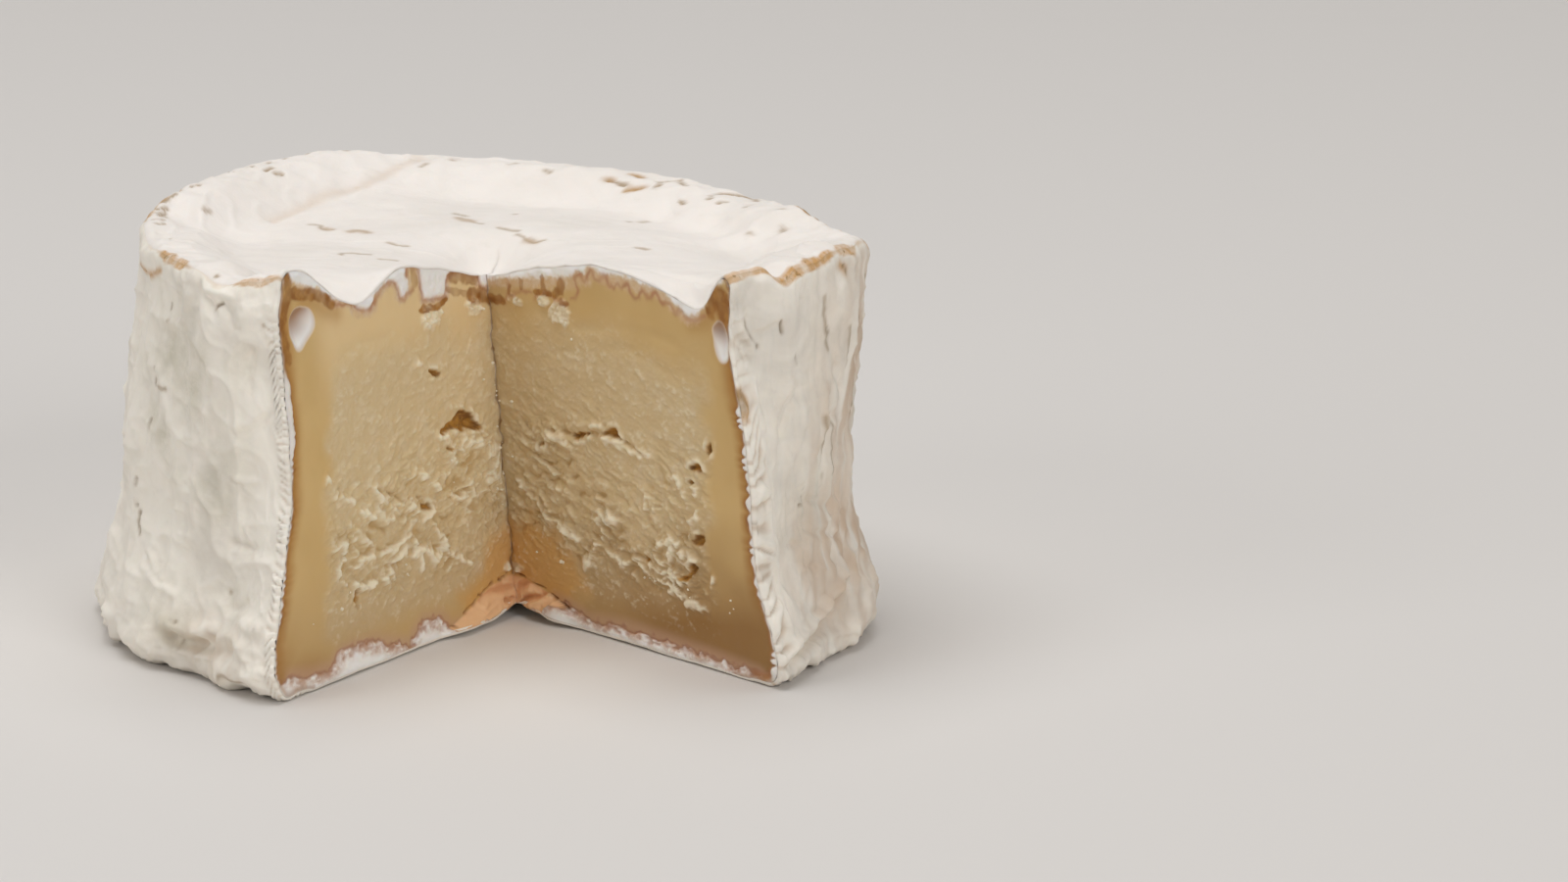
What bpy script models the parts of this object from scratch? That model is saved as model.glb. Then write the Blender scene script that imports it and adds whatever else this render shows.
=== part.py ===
"""Soft-ripened cheese, a low drum with a wedge cut out of it.

One solid. The drum is a turned profile: a dished top inside a raised rim, a leaning
side and a rolled foot round a slightly arched base. Functions of bearing and height
then press it into its slumped, hand-made form. The wedge is a Boolean cut whose two
walls carry the relief of the cut paste: the chalky core, the holes and the pockets
under the rim. Metres, +Z up, the notch faces -Y, and the origin is on the surface
that the cheese stands on, under the middle of its extents.
"""

import math

import bmesh
import bpy
from mathutils import Vector

# ---------------------------------------------------------------- driving sizes, mm
MM = 0.001
FOOT_Z, WAIST_Z, SHOULDER_Z = 4.0, 30.0, 57.0
FOOT_R, WAIST_R, SHOULDER_R = 59.0, 55.0, 54.5
# Each of these is a size by bearing from +X, in degrees, joined by a smooth closed curve
FOOT = {-176: 60.2, -160: 59.2, -150: 58.8, -138: 56.5, -124: 58.6, -84: 60.0, -44: 62.4, -34: 59.6, -20: 60.0, 0: 57.8, 45: 57.6, 90: 58.2, 135: 59.0}
WAIST = {-175: 55.6, -148: 54.8, -122: 50.9, -84: 54.0, -43: 56.8, -20: 55.4, 0: 54.6, 45: 55.0, 90: 55.4, 135: 55.4}
SHOULDER = {-178: 52.4, -158: 52.6, -136: 54.6, -121: 49.2, -84: 52.0, -44: 54.0, -34: 56.6, -12: 57.8, 0: 57.2, 12: 53.8, 25: 52.2, 45: 51.4, 62: 52.4, 74: 51.8, 90: 54.2, 104: 55.2, 118: 56.4, 135: 55.2, 150: 54.2}
RIM = {-178: 61.6, -166: 61.6, -157: 62.2, -150: 62.5, -140: 62.7, -135: 61.4, -130: 62.2, -124: 63.2, -84: 62.6, -46: 62.6, -40: 63.0, -36: 60.8, -33: 62.0, -27: 62.0, -23: 62.4, -14: 61.4, 2: 58.2, 16: 58.6, 22: 60.0, 28: 59.3, 36: 58.9, 43: 59.4, 64: 59.6, 78: 60.1, 96: 60.5, 107: 61.4, 117: 62.5, 127: 62.7, 148: 62.2, 159: 61.8, 168: 61.0}
RIM_Z, RIM_ROLL = 61.8, 2.5  # the turned rim, before RIM lifts it, and how tightly it rolls over
DISH_Z, SLUMP_Z, SLUMP_R = 57.4, 3.6, 8.5  # the dish, and how far its middle has sunk
# humps and hollows of the top: x, y, radius, height
TOP_SWELLS = ((0, 5, 5, -2.0), (17, -19, 9, 1.8), (33, -33.5, 6, -5.4), (-10.5, -16.5, 5, 1.6), (-18.5, -28, 6, -2.9))
ARCH_Z = 1.4  # how far the base is off the surface in the middle
STEPS = 120  # faces round the drum

# The knife's two cuts, from the line where they meet, in mm
APEX_FOOT, APEX_TOP = (4.0, 2.0), (0.0, 3.0)
LEFT_CUT, RIGHT_CUT = 32.5, 42.3  # degrees from -Y
WALL_S, WALL_Z = 28, 28  # faces along a wall and up it
BLADE = 0.35  # gap that the blade leaves at the apex
OUT, OVER, UNDER = 96.0, 75.0, -8.0  # how far the cutter runs past the cheese

SHIFT = (0.71, -3.95)  # moves the middle of the extents onto the origin, mm


# ---------------------------------------------------------------- small helpers
def smooth(low, high, value):
    """0 below low, 1 above high, an S-curve between; low may be the larger."""
    t = min(1.0, max(0.0, (value - low) / (high - low)))
    return t * t * (3.0 - 2.0 * t)


def bump(value, centre, width):
    return math.exp(-(((value - centre) / width) ** 2))


def turned(angle, other):
    """Difference of two bearings in degrees, -180 to 180."""
    return (angle - other + 180.0) % 360.0 - 180.0


def by_bearing(table, angle):
    """A size from one of the tables at this bearing."""
    keys = sorted(table)
    for i, key in enumerate(keys):
        span = (keys[(i + 1) % len(keys)] - key) % 360.0
        if (angle - key) % 360.0 < span:
            break
    t = ((angle - key) % 360.0) / span
    return table[key] + (table[keys[(i + 1) % len(keys)]] - table[key]) * smooth(0.0, 1.0, t)


def ripple(angle, z, waves):
    """Sum of (turns, rise per mm, phase, height) waves round the drum."""
    a = math.radians(angle)
    return sum(h * math.sin(n * a + k * z + phase) for n, k, phase, h in waves)


# ---------------------------------------------------------------- the drum
def profile():
    """Half section from the middle of the top, over the rim and down to the base."""
    points = []
    for i in range(14):  # the dish, rising to the rim
        r = 50.0 * i / 13
        sunk = SLUMP_Z * math.exp(-((r / SLUMP_R) ** 2))
        points.append((r, DISH_Z - sunk + (RIM_Z - DISH_Z) * smooth(38.0, 50.0, r)))
    for i in range(5):  # the rim rolls over
        a = math.radians(90 - 23 * i)
        points.append((SHOULDER_R - RIM_ROLL * (1.0 - math.cos(a)), RIM_Z - RIM_ROLL * (1.0 - math.sin(a))))
    for z in (54.5, 48.5, 42.5, 36.5, 30.0, 23.0, 16.5, 11.0):  # the side
        low, high = smooth(WAIST_Z, FOOT_Z, z), smooth(WAIST_Z, SHOULDER_Z, z)
        points.append((WAIST_R + (FOOT_R - WAIST_R) * low**2.2 + (SHOULDER_R - WAIST_R) * high, z))
    for i in range(6):  # the rolled foot
        a = math.radians(20 - 22 * i)
        points.append((FOOT_R - 3.6 + 3.6 * math.cos(a), 4.0 + 4.0 * math.sin(a)))
    for r in (44.0, 32.0, 21.0, 13.0, 6.0):  # the base, arched in the middle
        points.append((r, ARCH_Z * smooth(24.0, 10.0, r)))
    points.append((0.0, ARCH_Z))
    return points


SIDE_WAVES = (
    (3, 0.02, 0.4, 0.55),
    (7, 0.05, 2.1, 0.40),
    (13, -0.09, 4.0, 0.28),
    (21, 0.14, 1.2, 0.18),
)
FOOT_WAVES = ((5, 0.0, 1.0, 0.5), (12, 0.0, 3.3, 0.5), (19, 0.0, 0.2, 0.35))


def slump(r, angle, z):
    """Where a point of the turned drum goes: its new radius and height."""
    foot = by_bearing(FOOT, angle) / FOOT_R
    waist = by_bearing(WAIST, angle) / WAIST_R
    shoulder = by_bearing(SHOULDER, angle) / SHOULDER_R
    scale = waist
    scale += (foot - waist) * smooth(WAIST_Z, FOOT_Z, z)
    scale += (shoulder - waist) * smooth(WAIST_Z, SHOULDER_Z, z)
    outer = smooth(30.0, 50.0, r)
    on_side = outer * smooth(1.0, 6.0, z) * smooth(60.0, 54.0, z)
    new_r = r * scale
    new_r += on_side * ripple(angle, z, SIDE_WAVES)
    new_r += outer * smooth(14.0, 5.0, z) * smooth(0.2, 3.0, z) * ripple(angle, 0, FOOT_WAVES)
    # a stub of rind at the left of the foot, and a pinch above it
    new_r += 1.4 * outer * bump(turned(angle, 181), 0, 6) * bump(z, 6.5, 3.0)
    new_z = z
    if z > WAIST_Z:
        rim = by_bearing(RIM, angle) - RIM_Z
        lift = smooth(WAIST_Z, SHOULDER_Z, z) * smooth(24.0, 48.0, r)
        new_z += lift * rim
        # the top is not flat: long swells, and a crease behind the notch's left
        if z > 50.0:
            a = math.radians(angle)
            x, y = r * math.cos(a), r * math.sin(a)
            inner = smooth(50.0, 40.0, r)
            for sx, sy, wide, high in TOP_SWELLS:
                away = (x - sx) ** 2 + (y - sy) ** 2
                new_z += smooth(54.0, 47.0, r) * high * math.exp(-away / wide**2)
            new_z += inner * 0.5 * math.sin(0.09 * x + 1.1) * math.sin(0.11 * y + 0.4)
            crease = (x + 49.0) * 0.82 - (y - 4.0) * 0.57
            new_z -= 0.9 * bump(crease, 0.0, 4.5) * smooth(-20.0, 10.0, y) * smooth(54.0, 46.0, r)
    return new_r, new_z


def make_drum(collection, material):
    points = profile()
    mesh = bpy.data.meshes.new("drum_profile")
    mesh.from_pydata([(r * MM, 0.0, z * MM) for r, z in points], [(i, i + 1) for i in range(len(points) - 1)], [])
    turner = bpy.data.objects.new("drum_profile", mesh)
    collection.objects.link(turner)
    screw = turner.modifiers.new("turn", "SCREW")
    screw.axis = "Z"
    screw.angle = math.tau
    screw.steps = screw.render_steps = STEPS
    screw.use_merge_vertices = True
    screw.merge_threshold = 0.0001
    graph = bpy.context.evaluated_depsgraph_get()
    graph.update()
    body = bpy.data.meshes.new_from_object(turner.evaluated_get(graph), depsgraph=graph)
    body.name = "cheese"
    bpy.data.objects.remove(turner)
    for vertex in body.vertices:
        x, y, z = (c / MM for c in vertex.co)
        r, angle = math.hypot(x, y), math.degrees(math.atan2(y, x))
        new_r, new_z = slump(r, angle, z)
        a = math.radians(angle)
        vertex.co = Vector((new_r * math.cos(a), new_r * math.sin(a), new_z)) * MM
    cheese = bpy.data.objects.new("cheese", body)
    collection.objects.link(cheese)
    body.materials.clear()
    body.materials.append(material)
    return cheese


# ---------------------------------------------------------------- the notch
# Along each wall: distance from the apex, height, half width, half height, depth.
LEFT_HOLES = (
    (48.3, 55.0, 3.2, 3.4, 3.4),  # pocket under the rim
    (16.9, 41.0, 2.0, 0.9, 1.6),
    (10.5, 31.2, 5.0, 1.3, 2.6),
    (21.9, 21.8, 2.2, 1.2, 1.5),
    (12.0, 21.4, 2.4, 1.2, 1.6),
    (42.0, 11.5, 1.1, 2.4, 1.2),
)
RIGHT_HOLES = (
    (52.6, 52.4, 2.0, 4.2, 3.0),
    (18.6, 31.4, 2.6, 0.8, 2.2),
    (27.2, 33.0, 1.8, 0.8, 1.6),
    (10.0, 28.2, 1.8, 1.0, 1.4),
    (45.3, 20.0, 1.4, 1.4, 1.3),
    (41.3, 14.0, 1.8, 1.4, 1.4),
    (32.0, 14.9, 1.6, 1.0, 1.2),
    (7.5, 17.5, 1.6, 1.2, 1.4),
)


def relief(s, z, side):
    """How far the cut paste stands proud of the knife's plane, in mm."""
    left = side < 0
    margin = 41.0 if left else 46.0
    core = smooth(margin + 3.0, margin - 5.0, s) * smooth(3.0, 9.0, z) * smooth(50.0, 44.0, z)
    low = smooth(46.0, 30.0, z)
    rise = -0.32 if left else -0.30  # the core's ridges climb towards the apex
    band = z - rise * s
    rough = 0.45 * math.sin(0.62 * band + 0.5 * math.sin(0.21 * s + side))
    rough += 0.30 * math.sin(1.15 * band + 0.31 * s + 2.0 * side)
    rough += 0.22 * math.sin(0.55 * s - 0.4 * z) * math.sin(0.7 * s + 1.3 * z + side)
    out = core * (0.25 + low * rough)
    for hs, hz, wide, high, deep in LEFT_HOLES if left else RIGHT_HOLES:
        out -= deep * math.exp(-((((s - hs) / wide) ** 2 + ((z - hz) / high) ** 2) ** 1.5))
    # the base's rind, torn and left standing forward at the apex
    out += 1.7 * smooth(14.0, 4.0, s) * smooth(7.0, 3.0, z)
    # the skin along the outside of the cut is a little proud and wavy
    out += 0.3 * smooth(50.0, 54.0, s) * math.sin(0.8 * z + side)
    return out


def make_notch(collection):
    """The cutter: one grid extruded into two walls, which meet in the blade's line."""
    bm = bmesh.new()
    bmesh.ops.create_grid(bm, x_segments=WALL_S, y_segments=WALL_Z, size=1.0)
    extruded = bmesh.ops.extrude_face_region(bm, geom=bm.faces[:])
    moved = [v for v in extruded["geom"] if isinstance(v, bmesh.types.BMVert)]
    right = set(moved)
    for vertex in bm.verts:
        side = 1 if vertex in right else -1
        s = OUT * 0.5 * (vertex.co.x + 1.0)
        z = UNDER + (OVER - UNDER) * 0.5 * (vertex.co.y + 1.0)
        s = s * (0.5 + 0.5 * s / OUT)  # closer together near the apex
        t = z / 50.0
        ax = APEX_FOOT[0] + (APEX_TOP[0] - APEX_FOOT[0]) * t
        ay = APEX_FOOT[1] + (APEX_TOP[1] - APEX_FOOT[1]) * t
        turn = math.radians(LEFT_CUT if side < 0 else RIGHT_CUT)
        along = Vector((side * math.sin(turn), -math.cos(turn), 0.0))
        into = Vector((-side * math.cos(turn), -math.sin(turn), 0.0))  # into the notch
        offset = relief(s, z, side) * smooth(0.0, 3.0, s) - BLADE
        place = Vector((ax, ay, z)) + along * s + into * offset
        vertex.co = place * MM
    bmesh.ops.recalc_face_normals(bm, faces=bm.faces[:])
    mesh = bpy.data.meshes.new("notch")
    bm.to_mesh(mesh)
    bm.free()
    notch = bpy.data.objects.new("notch", mesh)
    notch.hide_render = True
    notch.display_type = "WIRE"
    collection.objects.link(notch)
    return notch


# ---------------------------------------------------------------- build
def rind_material():
    material = bpy.data.materials.new("rind")
    material.use_nodes = True
    shader = material.node_tree.nodes["Principled BSDF"]
    shader.inputs["Base Color"].default_value = (0.80, 0.75, 0.67, 1.0)
    shader.inputs["Roughness"].default_value = 0.85
    shader.inputs["Metallic"].default_value = 0.0
    return material


def main():
    for obj in list(bpy.data.objects):
        bpy.data.objects.remove(obj)
    parts = bpy.data.collections.new("chaource_cheese")
    cutters = bpy.data.collections.new("cutters")
    bpy.context.scene.collection.children.link(parts)
    bpy.context.scene.collection.children.link(cutters)

    cheese = make_drum(parts, rind_material())
    notch = make_notch(cutters)
    place = Vector((SHIFT[0], SHIFT[1], 0.0)) * MM
    cheese.location = place
    notch.location = place
    cut = cheese.modifiers.new("wedge", "BOOLEAN")
    cut.operation = "DIFFERENCE"
    cut.solver = "EXACT"
    cut.object = notch
    cheese.data.shade_smooth()
    cheese.data.set_sharp_from_angle(angle=math.radians(40))


main()
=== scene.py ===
# %% [markdown]
# # A soft-ripened cheese with a wedge cut out
# The real cheese is a low drum of curd that ripens from the outside in. A white mould
# rind wraps it, the paste under the rind has turned creamy, and the middle is still
# chalky. This lesson dresses the plain solid with those surfaces: the side rind, the
# top rind, the base rind, the two cut faces and the crumbs that the knife left.
#
# A cheese could be sculpted by hand, but then nobody could say why a wrinkle is where
# it is. Here each surface is a fine grid, and named sizes and marks push its points
# into place, so that every lobe, crack and stain can be found in a list and changed.

# %% Load the fixed frame
import math

import bpy
import numpy as np
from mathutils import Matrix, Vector


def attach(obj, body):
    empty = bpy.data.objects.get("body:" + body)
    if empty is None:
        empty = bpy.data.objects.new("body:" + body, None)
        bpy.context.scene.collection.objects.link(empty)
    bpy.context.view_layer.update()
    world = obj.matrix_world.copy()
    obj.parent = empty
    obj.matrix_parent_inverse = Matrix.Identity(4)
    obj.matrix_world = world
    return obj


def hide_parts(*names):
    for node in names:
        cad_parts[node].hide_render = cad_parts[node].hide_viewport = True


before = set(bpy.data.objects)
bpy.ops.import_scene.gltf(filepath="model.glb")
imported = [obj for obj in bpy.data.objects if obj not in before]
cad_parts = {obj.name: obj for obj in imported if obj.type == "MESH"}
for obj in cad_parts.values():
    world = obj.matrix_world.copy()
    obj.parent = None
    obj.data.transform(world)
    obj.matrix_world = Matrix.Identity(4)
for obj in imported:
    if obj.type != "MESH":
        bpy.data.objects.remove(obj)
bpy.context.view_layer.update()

# %% [markdown]
# ## Camera first
# The cheese is seen from across a table and a little above it. A short lens close by
# would spread the foot and hide the far rim. A long lens far away keeps the drum's
# sides nearly parallel, so that is what stands here, before anything is made.

# %% Camera
MM = 0.001
SHIFT = Vector((0.71, -3.95, 0.0)) * MM  # drum's axis, seen from the frame's origin
SENSOR, LENS = 36.0, 189.0  # the camera's own millimetres
LOOK_DOWN = 14.2  # degrees below level
camera_data = bpy.data.cameras.new("camera")
camera_data.sensor_width, camera_data.lens = SENSOR, LENS
camera_data.clip_start, camera_data.clip_end = 0.05, 50.0
camera = bpy.data.objects.new("camera", camera_data)
bpy.context.scene.collection.objects.link(camera)
camera.location = Vector((0.0451, -1.2179, 0.3356)) + SHIFT
camera.rotation_euler = (math.radians(90.0 - LOOK_DOWN), 0.0, 0.0)
bpy.context.scene.camera = camera
print("camera", tuple(round(c, 4) for c in camera.location))

# %% [markdown]
# ## Small numeric tools
# Every surface below is a grid whose points are placed by functions of bearing and
# height. A loop over each point would be slow, so numpy works out all the points of a
# grid at once, and these functions take and give whole arrays. The noise is written
# out too, because Blender's own takes one point at a time.


# %% Curves
def smooth(low, high, x):
    """0 below low, 1 above high, an S-curve between; low may be the larger."""
    t = np.clip((x - low) / (high - low), 0.0, 1.0)
    return t * t * (3.0 - 2.0 * t)


def bump(x, centre, width):
    return np.exp(-(((x - centre) / width) ** 2))


def turned(angle, other):
    return (angle - other + 180.0) % 360.0 - 180.0


def mix(a, b, t):
    return a + (b - a) * t


def by_bearing(table, angle):
    """A size from a table of bearings, as a smooth closed curve."""
    keys = np.array(sorted(table), dtype=float)
    sizes = np.array([table[k] for k in sorted(table)])
    a = (angle - keys[0]) % 360.0
    i = np.searchsorted(keys - keys[0], a, side="right") - 1
    j = (i + 1) % len(keys)
    span = (keys[j] - keys[i]) % 360.0
    t = (a - (keys[i] - keys[0])) / span
    return mix(sizes[i], sizes[j], t * t * (3.0 - 2.0 * t))


def by_height(table, z):
    heights = sorted(table)
    return np.interp(z, heights, [table[h] for h in heights])


print("half way up a smooth step", float(smooth(0.0, 1.0, 0.5)))


# %% Noise
def lattice(ix, iy, iz, seed):
    h = (ix * 374761393 + iy * 668265263 + iz * 2246822519 + seed * 974634777) & 0xFFFFFFFF
    h = ((h ^ (h >> 13)) * 1274126177) & 0xFFFFFFFF
    return ((h ^ (h >> 16)) & 0xFFFFFF) / 8388607.5 - 1.0


def noise(x, y, z, seed=0):
    """Smooth value noise in -1..1 with features about one unit wide."""
    x, y, z = np.broadcast_arrays(x, y, z)
    fx, fy, fz = np.floor(x), np.floor(y), np.floor(z)
    ix, iy, iz = fx.astype(np.int64), fy.astype(np.int64), fz.astype(np.int64)
    tx, ty, tz = x - fx, y - fy, z - fz
    tx, ty, tz = (t * t * t * (t * (t * 6 - 15) + 10) for t in (tx, ty, tz))
    out = 0.0
    for dx in (0, 1):
        wx = tx if dx else 1 - tx
        for dy in (0, 1):
            wy = ty if dy else 1 - ty
            for dz in (0, 1):
                wz = tz if dz else 1 - tz
                out = out + wx * wy * wz * lattice(ix + dx, iy + dy, iz + dz, seed)
    return out


def fractal(x, y, z, seed=0, octaves=4, gain=0.5):
    total, size, scale = 0.0, 0.0, 1.0
    for i in range(octaves):
        total = total + noise(x / scale, y / scale, z / scale, seed + 17 * i) * gain**i
        size += gain**i
        scale *= 0.53
    return total / size


def ridges(x, y, z, seed=0):
    """1 along thin wandering lines, falling to 0 between them."""
    return 1.0 - np.abs(noise(x, y, z, seed))


print("noise sample", round(float(noise(0.3, 0.7, 0.1)), 3))

# %% [markdown]
# ## The drum's form
# A ripe cheese slumps: it spreads at the foot, draws in at the waist and stands up
# again at the rim, by other amounts on every side. A spin would give a perfect drum.
# So a turned section is pressed into shape by one function that knows how wide the
# foot, the waist and the shoulder are at each bearing, and how high the rim stands.
# Every piece asks the same function, so neighbours agree.

# %% Sizes of the drum, in millimetres
FOOT_Z, WAIST_Z, SHOULDER_Z = 4.0, 30.0, 57.0
FOOT_R, WAIST_R, SHOULDER_R = 59.0, 55.0, 54.5
FOOT = {
    -176: 60.2, -160: 59.2, -150: 58.8, -138: 56.5, -124: 58.6, -84: 60.0, -44: 62.4, -34: 59.6, -20: 60.0,
    0: 57.8, 45: 57.6, 90: 58.2, 135: 59.0,
}
WAIST = {
    -175: 55.6, -148: 54.8, -122: 50.9, -84: 54.0, -43: 56.8, -20: 55.4, 0: 54.6, 45: 55.0, 90: 55.4,
    135: 55.4,
}
SHOULDER = {
    -178: 52.4, -158: 52.6, -136: 54.6, -121: 49.2, -84: 52.0, -44: 54.0, -34: 56.6, -12: 57.8, 0: 57.2,
    12: 53.8, 25: 52.2, 45: 51.4, 62: 52.4, 74: 51.8, 90: 54.2, 104: 55.2, 118: 56.4, 135: 55.2, 150: 54.2,
}
RIM = {
    -178: 61.6, -166: 61.6, -157: 62.2, -150: 62.5, -140: 62.7, -135: 61.4, -130: 62.2, -124: 63.2,
    -84: 62.6, -46: 62.6, -40: 63.0, -36: 60.8, -33: 62.0, -27: 62.0, -23: 62.4, -14: 61.4, 2: 58.2,
    16: 58.6, 22: 60.0, 28: 59.3, 36: 58.9, 43: 59.4, 64: 59.6, 78: 60.1, 96: 60.5, 107: 61.4, 117: 62.5,
    127: 62.7, 148: 62.2, 159: 61.8, 168: 61.0,
}
RIM_Z, RIM_ROLL = 61.8, 2.5
DISH_Z, SLUMP_Z, SLUMP_R = 57.4, 3.6, 8.5
# humps and hollows of the top: x, y, radius, height
TOP_SWELLS = (
    (0, 5, 5, -2.0), (17, -19, 9, 1.8), (33, -33.5, 6, -5.4), (-10.5, -16.5, 5, 1.6), (-18.5, -28, 6, -2.9),
)
# bulges of the side: bearing, its half width, height, its half width, how far out
BULGES = ((181, 6, 6.5, 3.0, 1.4), (-122, 10, 20, 8, 1.3), (-47, 8, 28, 11, 1.2))
FOOT_ROLL_R, FOOT_ROLL_Z = 3.6, 4.0  # half sizes of the roll at the foot
ARCH_Z, ARCH_X, ARCH_Y = 1.35, 6, 1  # height and place of the arch under the apex
APEX_FOOT, APEX_TOP = (4.0, 2.0), (0.0, 3.0)  # the line where the knife's two cuts meet
LEFT_CUT, RIGHT_CUT = 32.5, 42.3  # degrees from -Y
SEAM = math.radians(48)  # how far up the rim's roll the top rind gives way to the side
SIDE_WAVES = ((3, 0.02, 0.4, 0.55), (7, 0.05, 2.1, 0.40), (13, -0.09, 4.0, 0.28), (21, 0.14, 1.2, 0.18))
FOOT_WAVES = ((5, 0.0, 1.0, 0.5), (12, 0.0, 3.3, 0.5), (19, 0.0, 0.2, 0.35))
print("rim from", min(RIM.values()), "to", max(RIM.values()), "mm high")


# %% Pressing the turned section into the drum's form
def ripple(angle, z, waves):
    a = np.radians(angle)
    return sum(h * np.sin(n * a + k * z + phase) for n, k, phase, h in waves)


def apex(z):
    """Where the two cuts meet, at a height."""
    t = z / 50.0
    return mix(APEX_FOOT[0], APEX_TOP[0], t), mix(APEX_FOOT[1], APEX_TOP[1], t)


def slump(r, angle, z):
    """Where a point of the turned section goes: its new radius and height."""
    foot = by_bearing(FOOT, angle) / FOOT_R
    waist = by_bearing(WAIST, angle) / WAIST_R
    shoulder = by_bearing(SHOULDER, angle) / SHOULDER_R
    scale = waist + (foot - waist) * smooth(WAIST_Z, FOOT_Z, z)
    scale = scale + (shoulder - waist) * smooth(WAIST_Z, SHOULDER_Z, z)
    outer = smooth(30.0, 50.0, r)
    new_r = r * scale + outer * smooth(1.0, 6.0, z) * smooth(60.0, 54.0, z) * ripple(angle, z, SIDE_WAVES)
    new_r = new_r + outer * smooth(14.0, 5.0, z) * smooth(0.2, 3.0, z) * ripple(angle, 0, FOOT_WAVES)
    for bearing, wide, up, tall, far in BULGES:
        new_r = new_r + far * outer * bump(turned(angle, bearing), 0, wide) * bump(z, up, tall)
    upper = smooth(WAIST_Z, SHOULDER_Z, z)
    new_z = z + upper * smooth(24.0, 48.0, r) * (by_bearing(RIM, angle) - RIM_Z)
    x, y = r * np.cos(np.radians(angle)), r * np.sin(np.radians(angle))
    on_top = smooth(50.0, 51.0, z)
    for sx, sy, wide, high in TOP_SWELLS:
        near = np.exp(-((x - sx) ** 2 + (y - sy) ** 2) / wide**2)
        new_z = new_z + on_top * smooth(54.0, 47.0, r) * high * near
    new_z = new_z + on_top * smooth(50.0, 40.0, r) * 0.5 * np.sin(0.09 * x + 1.1) * np.sin(0.11 * y + 0.4)
    crease = (x + 49.0) * 0.82 - (y - 4.0) * 0.57
    new_z = new_z - on_top * 0.9 * bump(crease, 0.0, 4.5) * smooth(-20.0, 10.0, y) * smooth(54.0, 46.0, r)
    return new_r, new_z


def top_height(x, y):
    """Height of the top rind over a point of the plan."""
    r, angle = np.hypot(x, y), np.degrees(np.arctan2(y, x))
    nominal = r * SHOULDER_R / by_bearing(SHOULDER, angle)
    sunk = SLUMP_Z * np.exp(-((nominal / SLUMP_R) ** 2))
    z = DISH_Z - sunk + (RIM_Z - DISH_Z) * smooth(38.0, 50.0, nominal)
    over = np.clip(nominal - (SHOULDER_R - RIM_ROLL), 0.0, RIM_ROLL * 0.999)
    z = z - RIM_ROLL + np.sqrt(RIM_ROLL**2 - over**2)
    return slump(nominal, angle, z)[1]


print("top over the apex", round(float(top_height(np.array([0.0]), np.array([3.0]))[0]), 1), "mm")


# %% The turned section of the side
def side_section():
    """Outer half section from the seam under the rim down to the inside of the foot."""
    points = []
    for a in np.linspace(SEAM, math.radians(-8), 12):
        r = SHOULDER_R - RIM_ROLL + RIM_ROLL * math.cos(a)
        points.append((r, RIM_Z - RIM_ROLL + RIM_ROLL * math.sin(a)))
    for z in np.linspace(56.0, 9.0, 20):
        low, high = smooth(WAIST_Z, FOOT_Z, z), smooth(WAIST_Z, SHOULDER_Z, z)
        points.append((WAIST_R + (FOOT_R - WAIST_R) * low**2.2 + (SHOULDER_R - WAIST_R) * high, z))
    for a in np.linspace(math.radians(14), math.radians(-90), 12):
        r = FOOT_R - FOOT_ROLL_R + FOOT_ROLL_R * math.cos(a)
        points.append((r, FOOT_ROLL_Z + FOOT_ROLL_Z * math.sin(a)))
    points.append((50.0, 0.0))
    return np.array(points)


section = side_section()
section_run = np.concatenate([[0.0], np.cumsum(np.hypot(*np.diff(section, axis=0).T))])
FIRST, LAST = -90.0 + RIGHT_CUT, 270.0 - LEFT_CUT  # bearings of the cuts, round the back
print("section", round(float(section_run[-1]), 1), "mm long, cheese spans", LAST - FIRST, "degrees")


# %% Placing a point by its bearing from the apex
def side_point(bearing, run):
    """x, y, z of the side at a bearing from the apex line and a run down the section."""
    r = np.interp(run, section_run, section[:, 0])
    z = np.interp(run, section_run, section[:, 1])
    angle = bearing + 0.0
    for _ in range(7):
        new_r, new_z = slump(r, angle, z)
        x, y = new_r * np.cos(np.radians(angle)), new_r * np.sin(np.radians(angle))
        ax, ay = apex(new_z)
        angle = angle - turned(np.degrees(np.arctan2(y - ay, x - ax)), bearing)
    return x, y, new_z


def top_point(bearing, part):
    """x, y, z of the top rind, part of the way from the apex to the seam."""
    bx, by, bz = side_point(bearing, np.zeros_like(bearing))
    ax, ay = apex(bz)
    reach = np.hypot(bx - ax, by - ay)
    z = bz
    for _ in range(5):
        ax, ay = apex(z)
        x = ax + part * reach * np.cos(np.radians(bearing))
        y = ay + part * reach * np.sin(np.radians(bearing))
        z = np.where(part > 0.9999, bz, top_height(x, y))
    return x, y, z


x, y, z = top_point(np.array([FIRST, 90.0, LAST]), np.array([1.0, 1.0, 1.0]))
print("seam at the cuts and the back", np.round(np.stack([x, y, z], 1), 1).tolist())


# %% Making a grid and reading or writing its points
def new_grid(name, columns, rows):
    """A flat primitive grid with its own name; its points are placed afterwards."""
    bpy.ops.object.select_all(action="DESELECT")
    bpy.ops.mesh.primitive_grid_add(x_subdivisions=columns - 1, y_subdivisions=rows - 1, size=1.0)
    obj = bpy.context.object
    obj.name = obj.data.name = name
    return obj


def flat_places(obj):
    co = np.empty(len(obj.data.vertices) * 3, dtype=np.float32)
    obj.data.vertices.foreach_get("co", co)
    co = co.reshape(-1, 3).astype(float)
    return co[:, 0] + 0.5, co[:, 1] + 0.5


def place_points(obj, x, y, z):
    """Puts a grid's points at x, y, z in millimetres round the drum's axis."""
    co = np.stack([x, y, z], 1) * MM + np.array(SHIFT)
    obj.data.vertices.foreach_set("co", co.astype(np.float32).ravel())
    obj.data.update()
    obj.data.shade_smooth()


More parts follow.
